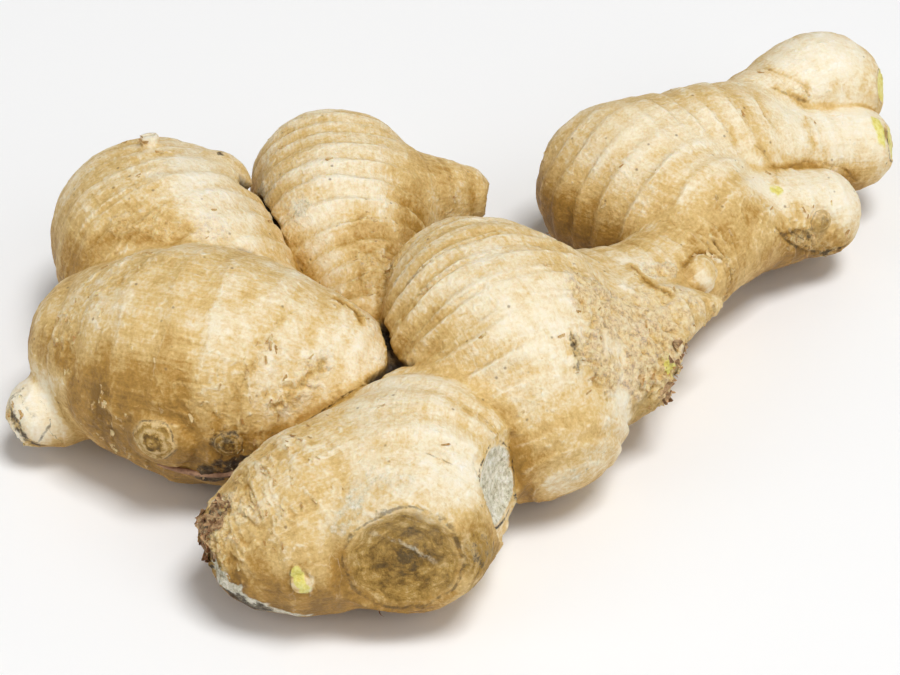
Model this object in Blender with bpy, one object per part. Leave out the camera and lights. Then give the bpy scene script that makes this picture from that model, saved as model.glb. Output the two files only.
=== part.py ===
"""A hand of ginger: one rhizome of swollen knobs, short side fingers, stubs and old shoot scars.

Run it with  blender --background --python part.py  or from Blender's text editor.

The knobs are swept bodies of changing thickness, each along its own bent line. They run into one
another with soft fillets, and the skin carries the growth rings, the low lumps, the scars where
shoots were cut off and the buds. Lengths are given in millimetres and turned to metres once.
"""

from dataclasses import dataclass

import bmesh
import bpy
import numpy as np
from mathutils import Matrix, Vector, noise

MM = 0.001

# The skeleton: the knobs are balls swept along bent lines, joined where they meet. Millimetres.
BALL_STEP = 1.4  # spacing of the balls that sweep out a knob
FEWEST_BALLS = 4
FILLET_REACH = 9.0  # how far past a root's own radius its fillet stays soft
CREASE = 1.0  # softness where knobs only press together
BASE_GRAIN = 0.95  # grain of the remesh that joins the knobs
SKIN_TRIANGLES = 11000  # faces left on the finished rhizome
TABLE_SIZE = 400.0  # the slab at height 0 that presses the undersides flat

# The growth rings and the low lumps of the skin. Millimetres, apart from shares.
RING_DRIFT = 0.35  # how far a ring wanders, as a share of its pitch
RING_DRIFT_WIDTH = 14.0
RING_RISE = 0.66  # share of a ring's pitch that is its slow rise
KNOB_APART = 40.0  # keeps one knob's ring drift from repeating on the next
OWN_SKIN = 0.8  # width of the strip in which two knobs share their skin
LUMP_HEIGHT = 0.75
LUMP_WIDTH = 17.0

# The cut and broken faces. Shares of a face's own radius, apart from the grain.
CUT_DEPTH = 0.12  # how deep a cut bites
CUT_REACH = 1.35  # how far out a cut trims its knob
CUT_FADE = 0.3  # width over which the skin's own relief comes back
RIM_AT = 0.95
RIM_WIDTH = 0.16
RAGGED_WIDTH = 2.5  # grain of a broken face, in millimetres

# The buds. Shares of a bud's radius and height.
DOME_POWER = 0.7
MOAT_AT = 1.15
MOAT_WIDTH = 0.2
MOAT_DEPTH = 0.25
BUD_REACH = 1.5  # how far out a bud keeps the skin's own relief away


@dataclass(frozen=True)
class Knob:
    """A swollen joint or side finger. Each point of its line is x, y, z and the radius there."""

    name: str
    line: tuple
    fillet: float  # softness of the join round its first point
    flatness: float = 0.95  # height of its cross-section over its width
    ring_pitch: float = 4.4
    ring_lift: float = 0.8


@dataclass(frozen=True)
class Cut:
    """A face where a shoot or a branch was cut or broken off a knob, dished, with a raised rim."""

    knob: str
    centre: tuple
    facing: tuple
    radius: float
    dish: float = 0.8
    rim: float = 0.5
    raggedness: float = 0.0


@dataclass(frozen=True)
class Bud:
    """A small dome with rings round it, in a shallow moat."""

    name: str
    centre: tuple
    radius: float
    height: float


KNOBS = (
    Knob(
        "front",
        line=((-5, -35, 17, 12), (-11, -51, 17.5, 17.4), (-12, -61.5, 17, 16.3), (-13.5, -69.5, 19.2, 12.8)),
        fillet=6,
        ring_pitch=5.0,
    ),
    Knob(
        "front_side",
        line=((-13, -53, 16.5, 16), (-26.5, -60.5, 15.9, 17), (-36, -64, 13.6, 12.3)),
        fillet=7,
        ring_pitch=6.0,
        ring_lift=0.4,
    ),
    Knob(
        "left",
        line=((-31, -28, 19.8, 16.8), (-50.5, -23.5, 20.4, 22.3), (-67.5, -16, 18, 16)),
        fillet=4,
        ring_pitch=7.5,
        ring_lift=0.5,
    ),
    Knob(
        "left_finger",
        line=((-67, -21, 13.5, 7), (-76.5, -24.2, 10.3, 7), (-81, -25, 10, 6.6)),
        fillet=4,
        flatness=1.0,
        ring_lift=0.35,
    ),
    Knob(
        "back_left",
        line=((-45, -7.5, 17, 15), (-58.3, 6, 19.8, 21), (-62.8, 17, 19, 20.5)),
        fillet=3,
        ring_pitch=5.5,
        ring_lift=0.5,
    ),
    Knob(
        "back_left_shoulder",
        line=((-57, 12, 24, 14), (-51, 20, 28.5, 7.5)),
        fillet=3,
        flatness=1.0,
        ring_pitch=5.5,
        ring_lift=0.3,
    ),
    Knob(
        "middle",
        line=((-20, -9, 17, 10), (-22, 3, 18, 11.5), (-26, 20.5, 19, 17), (-28, 34.5, 18.3, 17)),
        fillet=3,
    ),
    Knob(
        "middle_nub",
        line=((-19, 27, 20, 12), (-8, 31, 19.3, 8.2), (-2.5, 33, 18.5, 6)),
        fillet=6,
        flatness=1.0,
        ring_lift=0.35,
    ),
    Knob(
        "centre",
        line=((10.5, -33.5, 17, 16.3), (4.8, -22, 22.3, 22), (-1, -8, 21.2, 17)),
        fillet=7,
        ring_pitch=4.0,
    ),
    Knob(
        "broken_branch",
        line=((14.5, -23, 18, 15), (25.5, -19.5, 17.3, 12), (31.5, -18, 16.3, 9)),
        fillet=5,
        ring_pitch=5.0,
        ring_lift=0.3,
    ),
    Knob(
        "torn_flange",
        line=((26, -16, 20, 8.5), (36, -10, 21, 6), (45.5, -5.5, 20.5, 1.4)),
        fillet=4,
        flatness=1.0,
        ring_pitch=5.0,
        ring_lift=0.2,
    ),
    Knob(
        "neck",
        line=((19, -11, 18, 15), (32.5, 1.5, 16.5, 11.8), (42, 14, 17, 11)),
        fillet=6,
        ring_lift=0.5,
    ),
    Knob(
        "right",
        line=((50, 22, 17, 10.5), (41, 26, 17.5, 16.5), (31.5, 37, 17.2, 18.5)),
        fillet=6,
        ring_pitch=5.2,
    ),
    Knob(
        "right_back",
        line=((35, 37, 20, 16.5), (49, 45.5, 21, 14.2), (60, 50, 18, 11)),
        fillet=6,
        ring_lift=0.5,
    ),
    Knob(
        "upper_finger",
        line=((49, 45, 19, 11), (61, 59.5, 22.5, 9.3), (71.5, 66.5, 23.4, 11), (77, 67.5, 22, 10.2)),
        fillet=4,
        flatness=1.0,
        ring_lift=0.5,
    ),
    Knob(
        "middle_finger",
        line=((53, 43, 18, 12), (69, 51, 17, 9.5), (79, 54, 16, 8.8)),
        fillet=4,
        flatness=1.0,
        ring_lift=0.5,
    ),
    Knob(
        "lower_finger",
        line=((49, 25, 15.5, 10.5), (61, 30, 15, 9.5), (70, 34, 14, 8.8)),
        fillet=4,
        flatness=1.0,
        ring_lift=0.5,
    ),
    Knob(
        "dry_stub",
        line=((-63, 21, 36, 2.2), (-63.5, 23, 40.6, 1.7)),
        fillet=1.5,
        flatness=1.0,
        ring_pitch=3.0,
        ring_lift=0.1,
    ),
)

CUTS = (
    Cut("front", centre=(-13, -76.5, 20.5), facing=(0.03, -0.98, 0.16), radius=10.3, dish=0.5, rim=0.5),
    Cut("front", centre=(3.5, -57.5, 20.5), facing=(0.9, -0.36, 0.22), radius=7.5),
    Cut("front_side", (-47.5, -68, 14.5), (-0.86, -0.45, -0.2), 7.5, dish=0.9, rim=0.8, raggedness=1.2),
    Cut("left_finger", centre=(-86.5, -30, 9.5), facing=(-0.8, -0.35, -0.5), radius=4.6, dish=0.3, rim=0.3),
    Cut("middle_nub", centre=(3.2, 33, 18.5), facing=(0.95, -0.1, -0.2), radius=4.2, dish=0.4, rim=0.3),
    Cut("broken_branch", (37.5, -20, 15.5), (0.93, -0.2, -0.3), 8.0, dish=1.4, rim=0.8, raggedness=1.2),
    Cut("upper_finger", centre=(86.5, 66, 24), facing=(0.9, -0.3, 0.25), radius=4.0, dish=0.3, rim=0.3),
    Cut("middle_finger", centre=(87, 54, 17.5), facing=(0.95, -0.15, 0.25), radius=4.2, dish=-0.8, rim=0.5),
)

BUDS = (
    Bud("left_bud_scar", centre=(-57.5, -46, 19.5), radius=5.6, height=1.8),
    Bud("left_small_bud", centre=(-44.2, -46, 20.3), radius=2.6, height=1.0),
    Bud("neck_bud", centre=(43.6, 0.3, 23.3), radius=3.8, height=1.8),
    Bud("finger_bud", centre=(68.9, 24.8, 18), radius=2.0, height=1.2),
    Bud("pale_eye", centre=(-29.9, -77.2, 16), radius=2.2, height=1.4),
    Bud("back_left_eye", centre=(-76, 34, 20), radius=4.4, height=1.6),
    Bud("back_middle_eye", centre=(-30, 51, 16), radius=4.8, height=1.6),
    Bud("back_right_eye", centre=(22, 54, 15), radius=4.4, height=1.6),
)

SKIN_COLOUR = (0.56, 0.41, 0.22, 1.0)
SKIN_ROUGHNESS = 0.62


class Sweep:
    """A knob's balls: centres, radii, directions and distances along its line, as arrays."""

    def __init__(self, knob):
        self.knob = knob
        stations = np.array(knob.line, float)
        samples = smooth_line(stations)
        steps = np.linalg.norm(np.diff(samples[:, :3], axis=0), axis=1)
        along = np.concatenate([[0.0], np.cumsum(steps)])
        count = max(FEWEST_BALLS, int(along[-1] / BALL_STEP) + 1)
        even = np.linspace(0.0, along[-1], count)
        balls = np.stack([np.interp(even, along, samples[:, c]) for c in range(4)], 1)
        self.centres = balls[:, :3]
        self.radii = balls[:, 3]
        self.along = even
        ways = np.gradient(self.centres, axis=0)
        self.ways = ways / np.linalg.norm(ways, axis=1, keepdims=True)

    def near(self, points):
        """(distance to the surface, way out, distance along the line) for each point."""
        stretch = np.array([1.0, 1.0, 1.0 / self.knob.flatness])
        best = np.full(len(points), np.inf)
        out = np.zeros((len(points), 3))
        along = np.zeros(len(points))
        for centre, radius, way, done in zip(self.centres, self.radii, self.ways, self.along):
            offset = (points - centre) * stretch
            length = np.linalg.norm(offset, axis=1)
            gap = length - radius
            nearer = gap < best
            unit = offset[nearer] / np.maximum(length[nearer], 1e-6)[:, None]
            best[nearer] = gap[nearer]
            out[nearer] = unit
            along[nearer] = done + radius * np.arcsin(np.clip(unit @ way, -1.0, 1.0))
        out *= stretch
        return best, out, along


def smooth_line(stations, per_span=24):
    """A Catmull-Rom curve through the stations, with mirrored points past its two ends."""
    first = 2 * stations[0] - stations[1]
    last = 2 * stations[-1] - stations[-2]
    padded = np.vstack([first, stations, last])
    t = np.linspace(0.0, 1.0, per_span, endpoint=False)[:, None]
    spans = []
    for a, b, c, d in zip(padded, padded[1:], padded[2:], padded[3:]):
        spans.append(
            0.5 * (2 * b + (c - a) * t + (2 * a - 5 * b + 4 * c - d) * t**2 + (3 * b - a - 3 * c + d) * t**3)
        )
    return np.vstack([*spans, stations[-1:]])


def blended(points, sweeps):
    """(signed distance, way out) of all the knobs together: a soft fillet round each one's root, a crease elsewhere."""
    total, out = None, None
    for sweep in sweeps:
        gap, way, _ = sweep.near(points)
        if total is None:
            total, out = gap, way
            continue
        root = sweep.centres[0]
        reach = FILLET_REACH + sweep.radii[0]
        closeness = np.exp(-(((points - root) ** 2).sum(1)) / reach**2)
        soft = CREASE + (sweep.knob.fillet - CREASE) * closeness
        share = np.clip(0.5 + 0.5 * (total - gap) / soft, 0.0, 1.0)
        total = total * (1 - share) + gap * share - soft * share * (1 - share)
        out = out * (1 - share)[:, None] + way * share[:, None]
    return total, out


def settle(points, sweeps, rounds=4):
    """Moves the points on to the blended surface and returns them with their outward normals."""
    for _ in range(rounds):
        gap, out = blended(points, sweeps)
        steepness = np.maximum((out**2).sum(1), 0.2)
        points = points - out * (gap / steepness)[:, None]
    _, out = blended(points, sweeps)
    return points, out / np.linalg.norm(out, axis=1, keepdims=True)


def lumps(points, width):
    """Low rounded unevenness from -1 to 1, the same on each run."""
    return np.array([noise.noise(Vector(p) / width) for p in points])


def ring_profile(phase):
    """A growth ring: a slow rise towards the tip and a quick step down, from 0 to 1."""
    part = phase - np.floor(phase)
    rise = np.sin(0.5 * np.pi * np.clip(part / RING_RISE, 0, 1)) ** 2
    fall = np.cos(0.5 * np.pi * np.clip((part - RING_RISE) / (1 - RING_RISE), 0, 1)) ** 2
    return rise * fall


def nearness(gaps):
    """Each knob's share of each point's skin: nearly all goes to the knob that is outermost there."""
    weight = np.exp(-(gaps - gaps.min(axis=0)) / OWN_SKIN)
    return weight / weight.sum(0)


def ring_relief(points, sweeps, shares, alongs):
    """Height of the growth rings, each knob's own where it is on the outside."""
    height = np.zeros(len(points))
    for index, sweep in enumerate(sweeps):
        drift = RING_DRIFT * lumps(points + KNOB_APART * index, RING_DRIFT_WIDTH)
        phase = alongs[index] / sweep.knob.ring_pitch + drift
        height += shares[index] * sweep.knob.ring_lift * ring_profile(phase)
    return height


def cut_off(points, sweeps, shares):
    """Presses a knob's points beyond each cut back on to its dished face. Also tells which points are on one."""
    names = [sweep.knob.name for sweep in sweeps]
    on_cut = np.zeros(len(points))
    for cut in CUTS:
        facing = np.array(cut.facing) / np.linalg.norm(cut.facing)
        offset = points - np.array(cut.centre)
        level = offset @ facing
        reach = np.linalg.norm(offset - level[:, None] * facing, axis=1) / cut.radius
        dish = -cut.dish * np.clip(1 - reach**2, 0, 1)
        edge = cut.rim * np.exp(-(((reach - RIM_AT) / RIM_WIDTH) ** 2))
        ragged = cut.raggedness * lumps(points, RAGGED_WIDTH) if cut.raggedness else 0.0
        face = dish + edge + ragged - cut.radius * CUT_DEPTH
        own = np.clip(2 * shares[names.index(cut.knob)], 0, 1)
        beyond = (reach < CUT_REACH) & (level > face)
        points = points - (own * np.where(beyond, level - face, 0.0))[:, None] * facing
        on_cut = np.maximum(on_cut, own * beyond * np.clip((CUT_REACH - reach) / CUT_FADE, 0, 1))
    return points, on_cut


def bud_relief(points, sweeps):
    """Height of the buds, and how much each point belongs to one. Each bud sits on the skin nearest its centre."""
    height = np.zeros(len(points))
    share = np.zeros(len(points))
    for bud in BUDS:
        centre, _ = settle(np.array([bud.centre], float), sweeps)
        reach = np.linalg.norm(points - centre, axis=1) / bud.radius
        dome = np.clip(1 - reach**2, 0, 1) ** DOME_POWER
        moat = MOAT_DEPTH * np.exp(-(((reach - MOAT_AT) / MOAT_WIDTH) ** 2))
        height += bud.height * (dome - moat)
        share = np.maximum(share, np.clip(BUD_REACH - reach, 0, 1))
    return height, share


def ball_cluster(sweeps):
    """A mesh of overlapping balls, the rough stuff that the remesh joins."""
    shape = bmesh.new()
    for sweep in sweeps:
        flat = Matrix.Diagonal((1, 1, sweep.knob.flatness, 1))
        for centre, radius in zip(sweep.centres[::2], sweep.radii[::2]):
            place = Matrix.Translation(Vector(centre) * MM) @ flat
            bmesh.ops.create_icosphere(shape, subdivisions=2, radius=radius * MM, matrix=place)
    mesh = bpy.data.meshes.new("balls")
    shape.to_mesh(mesh)
    shape.free()
    return mesh


def evaluated_mesh(thing):
    """The object's mesh with its modifiers applied."""
    graph = bpy.context.evaluated_depsgraph_get()
    return bpy.data.meshes.new_from_object(thing.evaluated_get(graph))


def add_object(name, mesh):
    """A new object of this mesh in the scene."""
    thing = bpy.data.objects.new(name, mesh)
    bpy.context.scene.collection.objects.link(thing)
    return thing


def joined_skin(sweeps):
    """One closed skin round all the balls, of even grain."""
    rough = add_object("rough", ball_cluster(sweeps))
    remesh = rough.modifiers.new("join", "REMESH")
    remesh.mode = "VOXEL"
    remesh.voxel_size = BASE_GRAIN * MM
    mesh = evaluated_mesh(rough)
    bpy.data.objects.remove(rough)
    return mesh


def carve(mesh, sweeps):
    """Settles the skin on the knobs' surface, makes the cuts, and raises rings, lumps and buds from it."""
    points = np.empty(len(mesh.vertices) * 3)
    mesh.vertices.foreach_get("co", points)
    points, normals = settle(points.reshape(-1, 3) / MM, sweeps)
    gaps, _, alongs = (np.array(found) for found in zip(*[sweep.near(points) for sweep in sweeps]))
    shares = nearness(gaps)
    height, on_bud = bud_relief(points, sweeps)
    pressed, on_cut = cut_off(points, sweeps, shares)
    plain = 1 - np.maximum(on_bud, on_cut)
    height += plain * ring_relief(points, sweeps, shares, alongs)
    height += plain * LUMP_HEIGHT * lumps(points, LUMP_WIDTH)
    points = pressed + normals * height[:, None]
    mesh.vertices.foreach_set("co", (points * MM).ravel())
    mesh.update()


def thin_out(thing):
    """Fewer faces, kept where the relief needs them."""
    thing.data.calc_loop_triangles()
    fewer = thing.modifiers.new("thin_out", "DECIMATE")
    fewer.ratio = SKIN_TRIANGLES / len(thing.data.loop_triangles)
    fewer.use_collapse_triangulate = True
    thing.data = evaluated_mesh(thing)
    thing.modifiers.remove(fewer)


def press_flat(thing):
    """Cuts small flats where the rhizome rests, with a slab that stands for the table."""
    size = TABLE_SIZE * MM
    bpy.ops.mesh.primitive_cube_add(size=size, location=(0, 0, -size / 2))
    table = bpy.context.object
    cut = thing.modifiers.new("rest", "BOOLEAN")
    cut.operation = "DIFFERENCE"
    cut.object = table
    thing.data = evaluated_mesh(thing)
    thing.modifiers.remove(cut)
    bpy.data.objects.remove(table)


def skin_material():
    """Dry buff skin."""
    material = bpy.data.materials.new("skin")
    material.use_nodes = True
    shader = material.node_tree.nodes["Principled BSDF"]
    shader.inputs["Base Color"].default_value = SKIN_COLOUR
    shader.inputs["Roughness"].default_value = SKIN_ROUGHNESS
    shader.inputs["Metallic"].default_value = 0.0
    return material


def main():
    """Builds the rhizome as one solid."""
    for thing in list(bpy.data.objects):
        bpy.data.objects.remove(thing)
    sweeps = [Sweep(knob) for knob in KNOBS]
    mesh = joined_skin(sweeps)
    carve(mesh, sweeps)
    rhizome = add_object("rhizome", mesh)
    thin_out(rhizome)
    press_flat(rhizome)
    rhizome.data.materials.clear()
    rhizome.data.materials.append(skin_material())
    rhizome.data.shade_smooth()


main()
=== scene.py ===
"""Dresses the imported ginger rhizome: its dried skin, the remains of its scale leaves and its rootlets.

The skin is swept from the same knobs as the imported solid, at a finer grain, and carries the ring
edges, fibres, crusts, scars and buds. It stands for the solid, in the solid's own frame. Lengths
in the classes below are millimetres, and each mesh is turned to metres once.
"""

import logging
from dataclasses import dataclass
from enum import Enum
from typing import ClassVar

import bmesh
import bpy
import numpy as np
from mathutils import Matrix, Vector, noise
from numpy.typing import NDArray


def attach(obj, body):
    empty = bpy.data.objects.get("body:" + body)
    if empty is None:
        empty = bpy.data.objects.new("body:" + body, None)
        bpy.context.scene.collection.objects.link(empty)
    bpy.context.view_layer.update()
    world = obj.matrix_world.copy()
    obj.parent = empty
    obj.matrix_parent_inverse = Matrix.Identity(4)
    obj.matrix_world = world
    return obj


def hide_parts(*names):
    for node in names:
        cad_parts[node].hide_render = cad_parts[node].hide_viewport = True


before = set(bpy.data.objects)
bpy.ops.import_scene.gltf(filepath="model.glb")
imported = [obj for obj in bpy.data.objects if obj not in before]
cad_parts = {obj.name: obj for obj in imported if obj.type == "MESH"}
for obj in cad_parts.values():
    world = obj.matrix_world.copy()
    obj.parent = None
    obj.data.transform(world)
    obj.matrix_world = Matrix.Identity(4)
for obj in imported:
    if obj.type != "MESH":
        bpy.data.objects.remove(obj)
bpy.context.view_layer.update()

Floats = NDArray[np.float64]
Point = tuple[float, float, float]
Station = tuple[float, float, float, float]
Stops = tuple[tuple[float, str], ...]
Tree = bpy.types.NodeTree
Socket = bpy.types.NodeSocket
MM = 0.001
FAR = 1e3
MATH = "ShaderNodeMath"
NOISE = "ShaderNodeTexNoise"
RANGE = "ShaderNodeMapRange"
RAMP = "ShaderNodeValToRGB"
MIX = "ShaderNodeMix"
READ = "ShaderNodeAttribute"
NAMED = "GeometryNodeInputNamedAttribute"
log = logging.getLogger("ginger")


class Mark(Enum):
    """What a patch of the skin looks like. The value names the attribute that holds it."""

    CORK = "cork"
    SOIL = "soil"
    FRESH = "fresh"
    CHALK = "chalk"
    CRUST = "crust"
    # pale: the young skin's own cream, and painted highlight on the crests and on the left finger
    PALE_AND_HIGHLIGHT = "pale"
    # golden brown: the skin's own beside cracks and in places, and painted shade on the sides turned from the
    # light
    TAWNY_AND_SHADE = "tawny"
    FLAKY = "flaky"
    SMOOTH = "smooth"
    # painted shade: a near-black line in the gaps between knobs, which are also sunk
    GAP = "gap"
    SHREDS = "shreds"


@dataclass(frozen=True)
class Knob:
    """A swollen joint or side finger. Each point of its line is x, y, z and the radius there."""

    name: str
    line: tuple[Station, ...]
    fillet: float
    flatness: float = 0.95
    ring_pitch: float = 4.4
    ring_lift: float = 0.8
    edge: float = 0.5  # how plain the free edges of its rings are


@dataclass(frozen=True)
class Cut:
    """A face where a shoot or a branch was cut or broken off a knob, dished, with a raised rim."""

    knob: str
    centre: Point
    facing: Point
    radius: float
    mark: Mark
    dish: float = 0.8
    rim: float = 0.5
    raggedness: float = 0.0
    outline: float = 0.0  # how dark a line runs round it


@dataclass(frozen=True)
class Bud:
    """A small dome with rings round it, in a shallow moat."""

    name: str
    centre: Point
    radius: float
    height: float
    mark: Mark
    strength: float = 1.0
    ringed: bool = True


@dataclass(frozen=True)
class Patch:
    """A marked stretch of skin round the line from one point to another, with a ragged edge."""

    start: Point
    end: Point
    radius: float
    strength: float = 1.0


@dataclass(frozen=True)
class Crack:
    """A split in the skin along points on it. With a depth below 0 it is a raised pale fibre."""

    line: tuple[Point, ...]
    width: float
    dark: float = 0.4
    depth: float = 0.2
    brown: float = 0.5  # how brown the skin beside it is
    torn: float = 0.3  # how ragged its edges are


KNOBS = (
    Knob("front", fillet=6, ring_pitch=6.5, ring_lift=0.55, edge=0.25, line=(
        (-5, -35, 17, 12), (-11, -51, 17.5, 17.4), (-12, -61.5, 17, 16.3), (-13.5, -69.5, 19.2, 12.8))),
    Knob("front_side", fillet=7, ring_pitch=7.0, ring_lift=0.25, edge=0.3, line=(
        (-13, -53, 16.5, 16), (-26.5, -60.5, 15.9, 17), (-36, -64, 13.6, 12.3))),
    Knob("left", fillet=4, ring_pitch=7.5, ring_lift=0.3, edge=0.32, line=(
        (-31, -28, 19.8, 16.8), (-50.5, -23.5, 20.4, 22.3), (-67.5, -16, 18, 16))),
    Knob("left_finger", fillet=4, flatness=1.0, ring_pitch=4.4, ring_lift=0.1, edge=0.2, line=(
        (-67, -21, 13.5, 7), (-76.5, -24.2, 10.3, 7), (-81, -25, 10, 6.6))),
    Knob("back_left", fillet=3, ring_pitch=5.5, ring_lift=0.4, edge=0.4, line=(
        (-45, -7.5, 17, 15), (-58.3, 6, 19.8, 21), (-62.8, 17, 19, 20.5))),
    Knob("back_left_shoulder", fillet=3, flatness=1.0, ring_pitch=5.5, ring_lift=0.2, edge=0.3, line=(
        (-57, 12, 24, 14), (-51, 20, 28.5, 7.5))),
    Knob("middle", fillet=3, ring_pitch=4.5, ring_lift=0.5, edge=0.6, line=(
        (-20, -9, 17, 10), (-22, 3, 18, 11.5), (-26, 20.5, 19, 17), (-28, 34.5, 18.3, 17))),
    Knob("middle_nub", fillet=6, flatness=1.0, ring_pitch=4.4, ring_lift=0.15, edge=0.2, line=(
        (-19, 27, 20, 12), (-8, 31, 19.3, 8.2), (-2.5, 33, 18.5, 6))),
    Knob("centre", fillet=7, ring_pitch=4.4, ring_lift=0.7, edge=1.0, line=(
        (10.5, -33.5, 17, 16.3), (4.8, -22, 22.3, 22), (-1, -8, 21.2, 17))),
    Knob("broken_branch", fillet=5, ring_pitch=5.0, ring_lift=0.2, edge=0.2, line=(
        (14.5, -23, 18, 15), (25.5, -19.5, 17.3, 12), (31.5, -18, 16.3, 9))),
    Knob("torn_flange", fillet=4, flatness=1.0, ring_pitch=5.0, ring_lift=0.1, edge=0.1, line=(
        (26, -16, 20, 8.5), (36, -10, 21, 6), (45.5, -5.5, 20.5, 1.4))),
    Knob("neck", fillet=6, ring_pitch=4.4, ring_lift=0.3, edge=0.3, line=(
        (19, -11, 18, 15), (32.5, 1.5, 16.5, 11.8), (42, 14, 17, 11))),
    Knob("right", fillet=6, ring_pitch=5.6, ring_lift=0.48, edge=0.5, line=(
        (50, 22, 17, 10.5), (41, 26, 17.5, 16.5), (31.5, 37, 17.2, 18.5))),
    Knob("right_back", fillet=6, ring_pitch=4.8, ring_lift=0.35, edge=0.5, line=(
        (35, 37, 20, 16.5), (49, 45.5, 21, 14.2), (60, 50, 18, 11))),
    Knob("upper_finger", fillet=4, flatness=1.0, ring_pitch=5.0, ring_lift=0.12, edge=0.2, line=(
        (49, 45, 19, 11), (61, 59.5, 22.5, 9.3), (71.5, 66.5, 23.4, 11), (77, 67.5, 22, 10.2))),
    Knob("middle_finger", fillet=4, flatness=1.0, ring_pitch=4.4, ring_lift=0.12, edge=0.2, line=(
        (53, 43, 18, 12), (69, 51, 17, 9.5), (79, 54, 16, 8.8))),
    Knob("lower_finger", fillet=4, flatness=1.0, ring_pitch=4.4, ring_lift=0.12, edge=0.2, line=(
        (49, 25, 15.5, 10.5), (61, 30, 15, 9.5), (70, 34, 14, 8.8))),
    Knob("dry_stub", fillet=1.5, flatness=1.0, ring_pitch=3.0, ring_lift=0.1, edge=0.0, line=(
        (-63, 21, 36, 2.2), (-63.5, 23, 40.6, 1.7))),
)

CUTS = (
    Cut("front", (-12.6, -76.5, 19.9), (0.03, -0.98, 0.16), 10.0, Mark.CORK, dish=0.5, outline=0.6),
    Cut("front", (3.5, -57.5, 20.5), (0.9, -0.36, 0.22), 7.5, Mark.CHALK, outline=1.0),
    Cut("front_side", (-47.5, -68, 14.5), (-0.86, -0.45, -0.2), 7.5, Mark.CORK, 0.9, 0.8, 1.2),
    Cut("left_finger", (-86.5, -30, 9.5), (-0.8, -0.35, -0.5), 4.6, Mark.CORK, 0.3, 0.3, outline=0.7),
    Cut("middle_nub", (3.2, 33, 18.5), (0.95, -0.1, -0.2), 4.2, Mark.CORK, dish=0.4, rim=0.3),
    Cut("broken_branch", (37.5, -20, 15.5), (0.93, -0.2, -0.3), 8.0, Mark.CRUST, 1.4, 0.8, 1.2),
    Cut("upper_finger", (86.5, 66, 24), (0.9, -0.3, 0.25), 4.0, Mark.FRESH, dish=0.3, rim=0.3, outline=0.6),
    Cut("middle_finger", (87, 54, 17.5), (0.95, -0.15, 0.25), 4.2, Mark.FRESH, dish=-0.8, outline=0.8),
)

RING_EDGE = 0.7  # where in a growth ring its free edge lies, from its root to the next ring
BUD_RINGS = 14.0  # turns of the rings round a bud, in radians to its radius

BUDS = (
    Bud("left_bud", (-57, -46.2, 18.6), 6.2, 1.5, Mark.PALE_AND_HIGHLIGHT, 0.25, ringed=False),
    Bud("left_bud_scar", (-57.6, -46.2, 20.4), 3.9, 0.5, Mark.CORK, 0.85),
    Bud("left_small_bud", (-44.2, -46, 20.3), 2.6, 1.0, Mark.CORK, 0.7),
    Bud("neck_bud", (43.6, 0.3, 23.3), 3.8, 1.7, Mark.PALE_AND_HIGHLIGHT, 0.4, ringed=False),
    Bud("finger_bud", (68.9, 24.8, 18), 2.4, 1.2, Mark.CORK, 0.5),
    Bud("pale_eye", (-29.9, -77.2, 16), 2.0, 1.0, Mark.PALE_AND_HIGHLIGHT, 0.5, ringed=False),
    Bud("back_left_eye", (-76, 34, 20), 4.4, 1.6, Mark.CORK, 0.6),
    Bud("back_middle_eye", (-30, 51, 16), 4.8, 1.6, Mark.CORK, 0.8),
    Bud("back_right_eye", (22, 54, 15), 4.4, 1.6, Mark.CORK, 0.6),
)

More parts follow.
